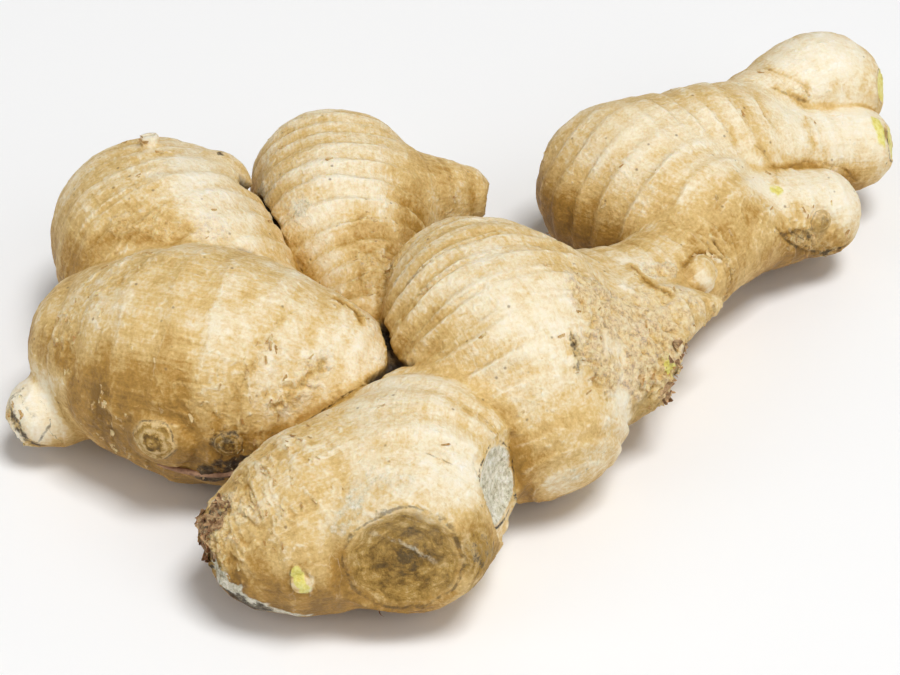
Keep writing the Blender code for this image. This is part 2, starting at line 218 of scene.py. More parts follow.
CRACKS = (
    Crack(((62.2, 54.2, 30.7), (65.2, 54.1, 29.1), (68.3, 54.6, 27.5)), 0.32, 0.45, 0.15, 0.8),
    Crack(((60.5, 60, 31.8), (62.9, 58.2, 32.1), (66, 57, 31.5), (68.8, 56, 29.8)), 0.22, 0.22, 0.08, 0.6),
    Crack(((56.4, 35.8, 28.7), (60.2, 33.9, 24.6), (59.9, 27.9, 25.1)), 0.16, 0.15, 0.12, 0.6),
    Crack(((61.7, 34.8, 24), (68.6, 40.4, 21.7), (75.6, 44.2, 17.6), (79, 45.3, 14.2)), 0.2, 0.15, 0.2, 0.5),
    Crack(((68.1, 49, 27.3), (68.7, 44.5, 25.5), (69.5, 42.9, 23.9)), 0.12, 0.12, 0.06, 0.6),
    Crack(((46.1, 7.6, 25.1), (48.6, 5.8, 21), (50.5, 4.5, 14)), 0.25, 0.5, 0.3, 0.7, 0.9),
    Crack(((41.3, 2.8, 26), (44.9, 5, 24.6), (48.3, 6.4, 22.6)), 0.2, 0.4, 0.3, 0.4, 1.0),
    Crack(
        ((28.8, -5.3, 29.5), (30.7, -8.1, 28.8), (32.6, -10.3, 28.1), (36, -11.6, 27.2)),
        0.25, 0.3, 0.2, 0.9, 0.9,
    ),
    Crack(
        ((60, 18, 20.5), (63.2, 19.8, 15.5), (69.5, 24.7, 10.2), (74.9, 27.4, 10)),
        0.35, 0.75, 0.25, 0.7, 0.7,
    ),
    Crack(((61.5, 19.5, 18.5), (64.5, 22.5, 17.5), (67, 23, 14.5)), 0.4, 0.75, 0.3, 0.8, 1.0),
    Crack(((-52, -42.4, 31.9), (-51, -44.2, 28.9), (-49.8, -45.9, 23)), 0.15, 0.2, 0.15, 0.4, 1.0),
    Crack(
        ((-32.8, -30.5, 37), (-36, -34.5, 36.8), (-39.5, -40, 34), (-41.8, -43.6, 30.2), (-41.3, -46, 23.1)),
        0.12, 0.12, 0.1, 0.3, 0.4,
    ),
    Crack(((-27.3, -38.5, 32.6), (-30.7, -42, 30.6), (-35, -45, 27.6)), 0.4, 0.25, 0.25, 0.6, 1.0),
    Crack(((-36, -37, 35.8), (-39.5, -41, 33), (-42, -43.5, 30.5)), 0.14, 0.15, 0.12, 0.3, 1.0),
    Crack(
        ((-85.9, -29, 12.2), (-84.6, -30.8, 10.8), (-83.2, -31.5, 8.7), (-81.7, -31, 6.3)),
        1.1, 0.95, 0.3, 0.5, 0.5,
    ),
    Crack(((-86.6, -26.6, 14.3), (-84.2, -27, 15.3), (-83.2, -28, 15)), 0.14, 0.7, 0.15, 0.2),
    Crack(((-77.5, -27, 18.5), (-75.3, -28.6, 16), (-75, -30, 12.5)), 0.1, 0.2, 0.1, 0.3),
    Crack(((-8.6, -63.5, 31.6), (-5.6, -64, 30.5)), 0.2, 0.5, 0.15, 0.4, 0.5),
    Crack(((1.5, -50.5, 32), (3.5, -51.5, 30.5), (4.6, -53, 28)), 0.14, 0.35, 0.12, 0.4, 0.4),
    Crack(((17, -36, 36.5), (17.4, -37.4, 34.3), (17.9, -39.8, 32.8)), 0.4, 0.45, 0.3, 0.4, 1.0),
    Crack(((21, -30, 36), (20, -34, 35.5), (20.6, -38, 32), (24, -40.5, 26)), 0.2, 0.12, 0.2, 0.4, 0.9),
    Crack(
        ((-16.7, -75.4, 24.5), (-14.2, -75.6, 23.4), (-10.9, -75.8, 21.6), (-8.2, -75.9, 19.3)),
        0.5, 0.5, -0.25, 0, 0,
    ),
    Crack(
        ((-31.9, -77.9, 16), (-32, -77.5, 18.2), (-31.3, -77.2, 19.9), (-30, -77.3, 20.4)),
        0.2, 0.6, 0.2, 0.3, 0.3,
    ),
    Crack(((-29, -77.7, 19.4), (-28, -78.2, 17), (-28.3, -78.5, 14.6)), 0.3, 0.6, -0.2, 0, 0),
    Crack(((40.9, 0.4, 25.6), (42.4, 2.6, 25.5), (44.5, 4.2, 24.8), (46.8, 4.6, 23)), 0.3, 0.6, -0.25, 0, 0),
    Crack(
        ((40.2, 0.2, 26), (42.2, 3.3, 25.6), (44.5, 5.1, 24.6), (47.4, 5.6, 22.6)),
        0.3, 0.45, 0.2, 0.7, 0.8,
    ),
    Crack(((-24.9, -23.6, 34.9), (-22.7, -24.5, 33.7), (-21.2, -27, 33.4)), 0.5, 0.5, 0.4, 0.8, 0.9),
)

PATCHES: dict[Mark, tuple[Patch, ...]] = {
    # Gaps between knobs: sunk, and painted near-black as shade.
    Mark.GAP: (
        Patch((-19.5, -22, 32), (-16.5, -35, 29.5), 4.4),
        Patch((-44, 22, 27), (-39.6, -3, 31.5), 6.0),
        Patch((-46, -48, 14), (-38, -46, 24), 4.0, 0.35),
    ),
    Mark.SHREDS: (
        Patch((-45.3, -66.3, 21), (-47.8, -64.7, 12), 3.2),
        Patch((36, -23, 21), (35, -28, 14), 3.0, 0.22),
    ),
    Mark.SOIL: (
        Patch((-45.3, -66.3, 21), (-47.8, -64.7, 10), 3.0, 0.5),
        Patch((-50, 21, 36.5), (-49, 24, 35.5), 1.0, 0.45),
        Patch((-43, -73.5, 7.5), (-35, -77.5, 6), 3.6, 0.62),
        Patch((-35, -77.5, 5), (-25, -77, 1.5), 2.8, 0.66),
        Patch((-48, -46.5, 11), (-41.5, -48, 14), 4.2, 0.66),
        Patch((-46, -47.5, 21), (-44.1, -47.3, 21.9), 2.2, 0.4),
        Patch((16.8, -36, 36), (18.2, -40.3, 32.3), 1.2, 0.4),
        Patch((0.8, -73.5, 20), (2, -70, 13), 4.0, 0.36),
        Patch((63.4, 20.4, 17.6), (66.4, 22.2, 16.4), 1.5, 0.42),
        Patch((69.5, 24.7, 10.4), (73, 27, 10), 1.5, 0.42),
    ),
    Mark.CHALK: (
        Patch((-20.4, -70.2, 30.2), (-22.5, -75.2, 24.8), 2.8, 0.4),
        Patch((-18.4, -68.2, 31.5), (-12.5, -70, 30.6), 2.6, 0.33),
        Patch((-46, -69, 10), (-43.5, -73.3, 12), 2.6, 0.7),
        Patch((-43.5, -73.3, 12), (-37, -75.8, 7.5), 2.6, 0.8),
        Patch((-37, -75.8, 7), (-27, -77, 5), 2.2, 0.75),
        Patch((24, -41, 21), (17, -49, 14), 3.2, 0.3),
        Patch((-33.9, 11.4, 31.3), (-33.9, 9.4, 31.3), 2.4, 0.42),
    ),
    # Pale stretches: the young fingers' own cream, and painted highlight on the crests and the left finger,
    # which also keep out of the painted shade.
    Mark.PALE_AND_HIGHLIGHT: (
        Patch((28, -36, 20), (16, -49, 15), 6.0, 0.8),
        Patch((-63.5, 23, 41), (-63.5, 23, 43), 3.0),
        Patch((-82, -28, 14), (-76, -26, 14), 8.0),
        Patch((-13, -50, 34), (0, -48, 34), 9.0, 0.45),
        Patch((64, 58, 33), (76, 64, 32), 7.5, 0.8),
        Patch((66, 47, 26), (80, 51, 24), 7.5, 0.8),
        Patch((58, 27, 25), (72, 31, 21), 7.0, 0.75),
        Patch((2, -27, 44), (13, -38, 36), 9.0, 0.5),
        Patch((-8, -68, 31), (-3, -64, 30), 6.0, 0.7),
        Patch((-14, -60, 34), (-8, -56, 35), 9.0, 0.4),
        Patch((-38, -34, 36), (-24, -35, 31), 9.0, 0.4),
        Patch((-24, 6, 30), (-25, 18, 35), 8.0, 0.6),
        Patch((-48, 2, 35), (-54, 10, 39), 8.0, 0.5),
        Patch((30, -5, 28), (36, 3, 28), 4.0, 0.5),
        Patch((28, 27, 34), (44, 32, 35), 9.0, 0.4),
    ),
    Mark.CRUST: (
        Patch((-63.5, 23, 42), (-63.5, 23, 43), 2.4, 0.5),
        Patch((23, -24.9, 35.8), (31.6, -22.2, 26.9), 7.5, 0.8),
        Patch((28, -19, 30), (39, -12, 25), 5.0, 0.6),
        Patch((29.5, -30.9, 22.2), (33, -24, 18), 6.5, 0.9),
        Patch((20.5, -35.6, 34), (24, -36, 28), 3.6, 0.8),
        Patch((-45, -69, 17), (-40, -66, 22), 5.0, 0.7),
        Patch((-18, -3, 29), (-14, -12, 27), 4.5, 0.6),
        Patch((32.6, -5.4, 28.5), (37, -2.5, 27), 1.8, 0.7),
        Patch((-56, 3, 33), (-50, -4, 36), 3.6, 0.5),
        Patch((64.6, 21.1, 17.2), (71.9, 26.2, 9.8), 2.4, 0.5),
        Patch((-27.3, -38.5, 32.6), (-35, -45, 27.6), 2.2, 0.55),
        Patch((-66.7, -2, 36.8), (-56.2, -4.4, 37), 2.4, 0.55),
    ),
    Mark.CORK: (
        Patch((0.4, -74.5, 21), (1, -71, 12), 5.5, 0.72),
        Patch((31, -33, 16), (30, -25, 11), 4.0, 0.6),
        Patch((85.6, 51.6, 21.6), (86.4, 52, 19.4), 1.3, 0.9),
        Patch((84.5, 59.5, 25), (86, 62, 20), 1.6, 0.4),
    ),
    Mark.FRESH: (
        Patch((-30.7, -77.8, 18.7), (-29.2, -78.4, 14.8), 1.15),
        Patch((34.9, -26, 23.2), (34.9, -26.2, 20), 1.3, 0.66),
        Patch((59.2, 26, 25), (60.2, 26, 24.4), 1.5, 0.62),
        Patch((83.4, 53, 23.4), (84.6, 49.6, 20.5), 1.5, 0.8),
    ),
    Mark.FLAKY: (
        Patch((-64, -41, 18), (-44, -47, 22), 8.0, 0.8),
        Patch((-44, -43, 30), (-38, -42, 32), 4.0, 0.6),
        Patch((-74, -26, 27), (-62, -18, 40), 6.0, 0.6),
        Patch((-46, -68, 18), (-32, -66, 28), 9.0, 0.9),
        Patch((-38, -60, 30), (-28, -52, 33), 5.0, 0.6),
        Patch((43.9, 5.6, 25.2), (48, 10, 24), 3.2, 0.9),
        Patch((60, 20, 20), (72, 25, 17), 4.5, 0.6),
        Patch((31, -30, 22), (35, -20, 20), 5.0, 0.8),
        Patch((38, -14, 24), (44, -8, 21), 3.0, 0.7),
        Patch((-22, -22, 36), (-19, -28, 33), 3.0, 0.7),
        Patch((46, 16, 26), (56, 19, 24), 4.0, 0.5),
        Patch((-62, 10, 38), (-66, 22, 36), 6.0, 0.4),
        Patch((-20, 3, 29.5), (-17.2, -7.1, 27), 5.0, 0.8),
    ),
    # Golden brown patches, partly the skin's own colour and partly painted shade on undersides and on sides
    # turned from the light.
    Mark.TAWNY_AND_SHADE: (
        Patch((48, 6, 18), (62, 18, 12), 7.0, 0.6),
        Patch((-66, -38, 12), (-44, -46, 12), 10.0, 0.6),
        Patch((-72, -10, 28), (-70, 8, 30), 7.0, 0.4),
        Patch((-34, -72, 10), (-22, -76, 9), 6.0, 0.6),
        Patch((34, 2, 26), (48, 14, 20), 6.0, 0.4),
        Patch((50, 12, 20), (62, 20, 12), 8.0, 0.65),
        Patch((-10, 28, 24), (0, 30, 18), 7.0, 0.45),
        Patch((-14, 4, 26), (-12, 18, 28), 5.0, 0.7),
        Patch((12, -50, 18), (22, -44, 16), 7.0, 0.55),
        Patch((36, -26, 14), (30, -32, 12), 6.0, 0.6),
        Patch((-2, -50, 32), (4, -48, 26), 3.5, 0.5),
        Patch((55, 58, 26), (66, 68, 24), 5.0, 0.6),
        Patch((64, 21, 17), (71, 26, 10), 5.0, 0.5),
        Patch((-57.7, -41.8, 30), (-65, -38.4, 28), 9.0, 0.55),
        Patch((51.4, 8.8, 20), (56.7, 16.5, 11), 6.0, 0.6),
        Patch((-20.6, 4, 29.6), (-17.2, -7.1, 27), 6.0, 0.8),
        Patch((-68, -2.4, 36), (-56.2, -4.4, 37), 4.0, 0.8),
        Patch((0.4, -74.5, 21), (1.5, -70, 12), 6.0),
    ),
    Mark.SMOOTH: (
        Patch((5, -28, 43), (15, -38, 35), 9.0),
        Patch((24, -30, 32), (16, -44, 28), 10.0),
        Patch((-16, -70, 30), (-4, -70, 30), 9.0),
        Patch((-36, -36, 34), (-28, -36, 32), 8.0, 0.7),
        Patch((30, -14, 26), (42, -8, 24), 9.0),
    ),
}


def linear(colour: str) -> tuple[float, float, float, float]:
    """Turns an sRGB hex colour into the linear colour that shaders take."""
    parts = [int(colour[at : at + 2], 16) / 255 for at in (1, 3, 5)]
    red, green, blue = (((v + 0.055) / 1.055) ** 2.4 if v > 0.04045 else v / 12.92 for v in parts)
    return red, green, blue, 1.0


def per_width(width: float) -> float:
    """The scale of a pattern on metre coordinates whose grain is the stated width in millimetres."""
    return 1.0 / (width * MM)


def add_node(
    tree: Tree,
    kind: str,
    inputs: dict[str | int, object] | None = None,
    out: str | int = 0,
    stops: Stops = (),
    **settings: object,
) -> Socket:
    """Adds a node to a shader or geometry tree.

    Args:
        tree: the tree that gets the node.
        kind: the node's type name.
        inputs: a value, or a socket to link, for each input by name or place.
        out: the output to return, by name or place.
        stops: place and hex colour of each stop of a colour ramp.
        settings: the node's own properties.

    Returns:
        The chosen output socket. Its node is at hand as socket.node.
    """
    made = tree.nodes.new(kind)
    for name, value in settings.items():
        setattr(made, name, value)
    for key, value in (inputs or {}).items():
        if isinstance(value, Socket):
            tree.links.new(value, made.inputs[key])
        else:
            made.inputs[key].default_value = value
    for index, (place, colour) in enumerate(stops):
        elements = made.color_ramp.elements
        element = elements[index] if index < len(elements) else elements.new(place)
        element.position = place
        element.color = linear(colour)
    return made.outputs[out]


def lumps(points: Floats, width: float | Floats) -> Floats:
    """Low rounded unevenness from -1 to 1, the same on each run.

    Args:
        points: where it is read.
        width: size of a lump, one number or one for each axis.

    Returns:
        One number for each point.
    """
    return np.array([noise.noise(Vector(p)) for p in points / width])


def smooth_step(value: Floats, low: float, high: float) -> Floats:
    """0 below low, 1 above high, with a smooth rise between."""
    part = np.clip((value - low) / (high - low), 0.0, 1.0)
    return part * part * (3 - 2 * part)


def unit(vectors: Floats) -> Floats:
    """The vectors at length 1."""
    return vectors / np.maximum(np.linalg.norm(vectors, axis=-1, keepdims=True), 1e-9)


def smooth_line(stations: Floats, per_span: int = 24) -> Floats:
    """A Catmull-Rom curve through the stations, with mirrored points past its two ends.

    Args:
        stations: one row of x, y, z and radius for each station.
        per_span: samples from one station to the next.

    Returns:
        The samples, rows like the stations'.
    """
    first = 2 * stations[0] - stations[1]
    last = 2 * stations[-1] - stations[-2]
    padded = np.vstack([first, stations, last])
    t = np.linspace(0.0, 1.0, per_span, endpoint=False)[:, None]
    spans = []
    for a, b, c, d in zip(padded, padded[1:], padded[2:], padded[3:]):
        cubic = (2 * a - 5 * b + 4 * c - d) * t**2 + (3 * b - a - 3 * c + d) * t**3
        spans.append(0.5 * (2 * b + (c - a) * t + cubic))
    return np.vstack([*spans, stations[-1:]])


def measure_to_line(points: Floats, normals: Floats, line: Floats) -> tuple[Floats, Floats, Floats]:
    """Measures points on the skin against a line that lies on it.

    Args:
        points: where to measure.
        normals: the skin's normals there.
        line: the line's points in order.

    Returns:
        The distance to the line, the distance across it with its side as the sign, and the
        distance past its ends.
    """
    gap = np.full(len(points), FAR)
    side, past = np.zeros(len(points)), np.zeros(len(points))
    for start, end in zip(line, line[1:]):
        way = end - start
        length = np.linalg.norm(way)
        way = way / max(length, 1e-9)
        along = (points - start) @ way
        nearest = start + np.clip(along, 0.0, length)[:, None] * way
        away = np.linalg.norm(points - nearest, axis=1)
        nearer = away < gap
        gap[nearer] = away[nearer]
        across = unit(np.cross(way, normals[nearer]))
        side[nearer] = ((points[nearer] - nearest[nearer]) * across).sum(1)
        past[nearer] = np.maximum(-along[nearer], along[nearer] - length).clip(0.0)
    return gap, side, past


class Sweep:
    """A knob's balls: centres, radii, directions and distances along its line, as arrays."""

    ball_step = 1.4
    fewest_balls = 4
    reach = 9.0  # further from the balls than this, a point has nothing to do with the knob

    def __init__(self, knob: Knob) -> None:
        """Spaces the balls evenly along the knob's line."""
        self.knob = knob
        samples = smooth_line(np.array(knob.line, float))
        steps = np.linalg.norm(np.diff(samples[:, :3], axis=0), axis=1)
        along = np.concatenate([[0.0], np.cumsum(steps)])
        count = max(self.fewest_balls, int(along[-1] / self.ball_step) + 1)
        self.along = np.linspace(0.0, along[-1], count)
        balls = np.stack([np.interp(self.along, along, samples[:, c]) for c in range(4)], 1)
        self.centres = balls[:, :3]
        self.radii = balls[:, 3]
        self.ways = unit(np.gradient(self.centres, axis=0))

    def near(self, points: Floats) -> tuple[Floats, Floats, Floats]:
        """Measures the points against the knob.

        Args:
            points: where to measure.

        Returns:
            The distance to the knob's surface, the way out of it and the distance along its line.
        """
        gap = np.full(len(points), FAR)
        out = np.zeros((len(points), 3))
        along = np.zeros(len(points))
        margin = self.radii[:, None] + self.reach
        low = (self.centres - margin).min(0)
        high = (self.centres + margin).max(0)
        inside = np.where(((points > low) & (points < high)).all(1))[0]
        stretch = np.array([1.0, 1.0, 1.0 / self.knob.flatness])
        for centre, radius, way, done in zip(self.centres, self.radii, self.ways, self.along):
            offset = (points[inside] - centre) * stretch
            length = np.linalg.norm(offset, axis=1)
            nearer = length - radius < gap[inside]
            found = inside[nearer]
            ray = offset[nearer] / np.maximum(length[nearer], 1e-6)[:, None]
            gap[found] = length[nearer] - radius
            out[found] = ray * stretch
            along[found] = done + radius * np.arcsin(np.clip(ray @ way, -1.0, 1.0))
        return gap, out, along

    def grain(self, points: Floats, along: Floats) -> tuple[Floats, Floats]:
        """Places the points in the knob's own frame.

        Args:
            points: where to look.
            along: their distances along the knob's line.

        Returns:
            Distance along and two distances across, and the way that the knob grows at each point.
        """
        at = np.clip(along, 0.0, self.along[-1])
        centre = np.stack([np.interp(at, self.along, self.centres[:, c]) for c in range(3)], 1)
        way = unit(np.stack([np.interp(at, self.along, self.ways[:, c]) for c in range(3)], 1))
        side = unit(np.cross(way, np.array([0.05, 0.1, 1.0])))
        up = np.cross(side, way)
        offset = points - centre
        local = np.stack([along, (offset * side).sum(1), (offset * up).sum(1)], 1)
        return local, way


@dataclass
class Skeleton:
    """All the knobs together, and the surface round them."""

    knobs: tuple[Knob, ...] = KNOBS
    fillet_reach: float = 9.0
    crease: float = 1.0
    own_skin: float = 0.8

    def __post_init__(self) -> None:
        """Sweeps each knob once."""
        self.sweeps = [Sweep(knob) for knob in self.knobs]

    def blended(self, points: Floats) -> tuple[Floats, Floats]:
        """Measures the points against all the knobs, softly joined.

        Args:
            points: where to measure.

        Returns:
            The distance to the joined surface, and the way out of it.
        """
        total, out, _ = self.sweeps[0].near(points)
        for sweep in self.sweeps[1:]:
            gap, way, _ = sweep.near(points)
            reach = self.fillet_reach + sweep.radii[0]
            closeness = np.exp(-(((points - sweep.centres[0]) ** 2).sum(1)) / reach**2)
            soft = self.crease + (sweep.knob.fillet - self.crease) * closeness
            share = np.clip(0.5 + 0.5 * (total - gap) / soft, 0.0, 1.0)
            total = total * (1 - share) + gap * share - soft * share * (1 - share)
            out = out * (1 - share)[:, None] + way * share[:, None]
        return total, out

    def settle(self, points: Floats, rounds: int) -> tuple[Floats, Floats, Floats]:
        """Moves the points on to the joined surface.

        Args:
            points: points near the surface.
            rounds: how many steps they take.

        Returns:
            The settled points, their outward normals, and how deep in a crease each one lies.
        """
        for _ in range(rounds):
            gap, out = self.blended(points)
            steepness = np.maximum((out**2).sum(1), 0.2)
            points = points - out * (gap / steepness)[:, None]
        _, out = self.blended(points)
        return points, unit(out), 1 - np.clip((out**2).sum(1), 0, 1)

    def shares(self, gaps: Floats) -> Floats:
        """Each knob's share of each point's skin: nearly all goes to the outermost there."""
        weight = np.exp(-(gaps - gaps.min(axis=0)) / self.own_skin)
        return weight / weight.sum(0)


@dataclass
class Growth:
    """What every point of the skin knows of the knob that it belongs to."""

    points: Floats
    normals: Floats
    shares: Floats
    ring: Floats  # count of rings from the knob's root, with the drift in it
    pitch: Floats
    lift: Floats  # height of the ring swellings, shared with the neighbours
    ring_light_and_shade: Floats  # the same swellings from -1 to 1, for painted highlight on their crests and painted shade in their hollows
    edge: Floats  # how plain the rings' free edges are
    own: Floats  # 1 well inside one knob's skin, 0 where two meet
    grain: Floats
    growth: Floats


class Scars:
    """The round marks that cuts and ringed buds leave, for the material to draw their rings."""

    far = 3.0  # further out than this many radii, nothing is drawn
    widest = 2.0  # and a scar reaches no further than this

    def __init__(self, count: int) -> None:
        """No scars yet, on a skin of that many points."""
        self.disc = np.full(count, self.far)  # distance from the nearest centre, in its radii
        self.grain = np.zeros((count, 3))  # distance from the centre, and the way round as two numbers
        self.outline = np.zeros(count)
        self.rings = np.zeros(count)

    def add(
        self, points: Floats, centre: Floats, facing: Floats, radius: float, reach: Floats,
        outline: float, rings: float,
    ) -> None:
        """Records one scar where it is the nearest.

        Args:
            points: the skin.
            centre: the scar's centre.
            facing: the way out of it.
            radius: its radius.
            reach: each point's distance from its centre, in radii.
            outline: how dark a line runs round it.
            rings: how plain its rings are.
        """
        offset = points - centre
        away = np.linalg.norm(offset, axis=1) / radius
        nearer = (away < self.widest) & (reach < self.disc)
        side = unit(np.cross(facing, np.array([0.1, 0.2, 1.0])))
        turn = np.stack([offset @ side, offset @ np.cross(facing, side)], 1)
        turn = turn / np.maximum(np.linalg.norm(turn, axis=1, keepdims=True), 1e-6)
        self.disc[nearer] = reach[nearer]
        self.grain[nearer] = np.column_stack([reach * radius, turn])[nearer]
        self.outline[nearer] = outline
        self.rings[nearer] = rings


@dataclass
class Rhizome:
    """The one piece of the object: its skin, raised from the skeleton."""

    skeleton: Skeleton
    base_grain: float = 0.95
    ball_stride: int = 2  # one ball in so many goes into the rough mesh
    least_share: float = 0.004
    own_range: tuple[float, float] = (0.6, 0.95)
    most_triangles: int = 192_000
    ring_drift: float = 0.35
    ring_drift_width: float = 14.0
    ring_rise: float = 0.66
    knob_apart: float = 40.0
    pole_fade: tuple[float, float] = (0.55, 0.85)
    lump_height: float = 0.75
    lump_width: float = 17.0
    dent_height: float = 0.4
    dent_width: float = 7.0
    cut_depth: float = 0.12
    cut_reach: float = 1.35
    cut_fade: float = 0.3
    rim_at: float = 0.95
    rim_width: float = 0.16
    ragged_width: float = 2.5
    corky_lumps: tuple[tuple[float, float], ...] = ((0.3, 2.6), (0.12, 1.0))  # heights and widths
    uneven: float = 0.13  # how far a cut is from round, in its radii
    uneven_width: float = 3.4
    inner_range: tuple[float, float] = (-0.06, 0.3)
    dome_power: float = 0.7
    moat_at: float = 1.15
    moat_width: float = 0.2
    moat_depth: float = 0.25
    bud_reach: float = 1.5
    bud_uneven: float = 0.14
    bud_ring_height: float = 0.2
    crack_reach: float = 5.0
    crack_wander: float = 0.45
    crack_wander_width: float = 2.2
    crack_lips: float = 0.6  # height of its lips, as a share of its depth
    crack_lips_at: float = 2.2  # widths from its middle
    stain_spread: float = 1.1
    torn_spread: float = 2.4
    most_across: float = 9.0
    gap_depth: float = 1.6
    lip_height: float = 0.24
    lip_width: float = 0.4
    lip_wander: float = 0.08
    lip_groove: float = 0.6
    lip_run: float = 9.0  # how long a free edge is unbroken
    lip_shown: tuple[float, float] = (-0.35, 0.25)
    wrinkle_height: float = 0.1
    wrinkle_size: tuple[float, float, float] = (7.0, 1.6, 1.6)
    pebble_height: float = 0.1
    pebble_width: float = 1.8
    tear_height: float = 0.42
    tear_width: float = 2.6
    tear_edge: float = 0.09
    tear_gap: tuple[float, float] = (0.22, 0.1)  # where the gap beside a torn edge lies, and its width
    crust_depth: float = 0.75
    crust_height: float = 1.4
    crust_width: float = 3.6
    patch_raggedness: float = 0.45
    soft_edge: tuple[float, float] = (1.7, 1.5)  # where a soft mark begins and how far it fades, in its radii
    firm_edge: tuple[float, float] = (1.25, 0.6)
    smooth_loss: float = 0.85  # how much of the rings' relief a smooth stretch loses
    crust_loss: float = 0.7
    edge_scraps: float = 0.06  # how thick scraps lie along plain ring edges
    edge_scraps_width: float = 0.5
    crust_scraps: float = 0.25
    pale_unshaded: float = 0.9  # how much of the painted shade a pale stretch is spared
    # gain of the tawny patches and stains, which are partly painted shade; the painted shade by facing is
    # added to them
    tawny_and_shade_gain: float = 0.85
    most_tawny_and_shade: float = 0.9
    # the facings over which the painted shade rises from none to full
    shaded: tuple[float, float] = (-0.1, 0.95)
    least_scrap_height: float = 2.0
    least_stub_height: float = 3.0
    soft_marks: tuple[Mark, ...] = (Mark.PALE_AND_HIGHLIGHT, Mark.TAWNY_AND_SHADE, Mark.SMOOTH)
    # the way that the painted shade faces: left, front and down
    shade_side: Point = (-0.6, -0.42, -0.68)

    def _balls(self) -> bpy.types.Mesh:
        """A mesh of overlapping balls, the rough stuff that the remesh joins."""
        shape = bmesh.new()
        for sweep in self.skeleton.sweeps:
            flat = Matrix.Diagonal((1, 1, sweep.knob.flatness, 1))
            for centre, radius in zip(sweep.centres[:: self.ball_stride], sweep.radii[:: self.ball_stride]):
                place = Matrix.Translation(Vector(centre) * MM) @ flat
                bmesh.ops.create_icosphere(shape, subdivisions=2, radius=radius * MM, matrix=place)
        mesh = bpy.data.meshes.new("balls")
        shape.to_mesh(mesh)
        shape.free()
        return mesh

    def _even_skin(self) -> bpy.types.Object:
        """One closed skin round all the balls, of even fine grain."""
        skin = new_object("ginger_skin", self._balls())
        join = skin.modifiers.new("join", "REMESH")
        join.mode = "VOXEL"
        join.voxel_size = self.base_grain * MM
        finer = skin.modifiers.new("finer", "SUBSURF")
        finer.levels = 1
        finer.render_levels = 1
        apply_modifiers(skin)
        return skin

    def _growth(self, points: Floats, normals: Floats) -> Growth:
        """Works out, for each point, what it knows of its knob.

        Args:
            points: the settled skin.
            normals: its outward normals.

        Returns:
            The record of all of it.
        """
        sweeps = self.skeleton.sweeps
        found = [sweep.near(points) for sweep in sweeps]
        shares = self.skeleton.shares(np.array([gap for gap, _, _ in found]))
        count = len(points)
        ring, pitch, lift = np.zeros(count), np.ones(count), np.zeros(count)
        ring_light_and_shade, edge = np.zeros(count), np.zeros(count)
        grain, growth = np.zeros((count, 3)), np.zeros((count, 3))
        outermost = shares.argmax(0)
        for index, (sweep, (_, _, along)) in enumerate(zip(sweeps, found)):
            some = np.where(shares[index] > self.least_share)[0]
            drift = self.ring_drift * lumps(points[some] + self.knob_apart * index, self.ring_drift_width)
            phase = along[some] / sweep.knob.ring_pitch + drift
            fade = shares[index, some] * self._off_the_poles(sweep, along[some])
            swelling = self._swelling(phase)
            lift[some] += fade * sweep.knob.ring_lift * swelling
            ring_light_and_shade[some] += fade * np.sqrt(sweep.knob.edge) * (2 * swelling - 1)
            edge[some] += fade * sweep.knob.edge
            mine = outermost[some] == index
            ring[some[mine]] = phase[mine]
            pitch[some[mine]] = sweep.knob.ring_pitch
            local, way = sweep.grain(points[some[mine]], along[some[mine]])
            grain[some[mine]] = local + self.knob_apart * index
            growth[some[mine]] = way
        own = smooth_step(shares.max(0), *self.own_range)
        return Growth(points, normals, shares, ring, pitch, lift, ring_light_and_shade, edge, own, grain, growth)

    def _off_the_poles(self, sweep: Sweep, along: Floats) -> Floats:
        """1 along the knob, 0 at its two ends, where rings would close to a bull's-eye."""
        before = -along / (sweep.radii[0] * np.pi / 2)
        after = (along - sweep.along[-1]) / (sweep.radii[-1] * np.pi / 2)
        return 1 - smooth_step(np.maximum(before, after), *self.pole_fade)

    def _swelling(self, phase: Floats) -> Floats:
        """A growth ring: a slow rise towards the tip and a quick step down, from 0 to 1."""
        part = phase - np.floor(phase)
        rise = np.sin(0.5 * np.pi * np.clip(part / self.ring_rise, 0, 1)) ** 2
        past = np.clip((part - self.ring_rise) / (1 - self.ring_rise), 0, 1)
        return rise * np.cos(0.5 * np.pi * past) ** 2

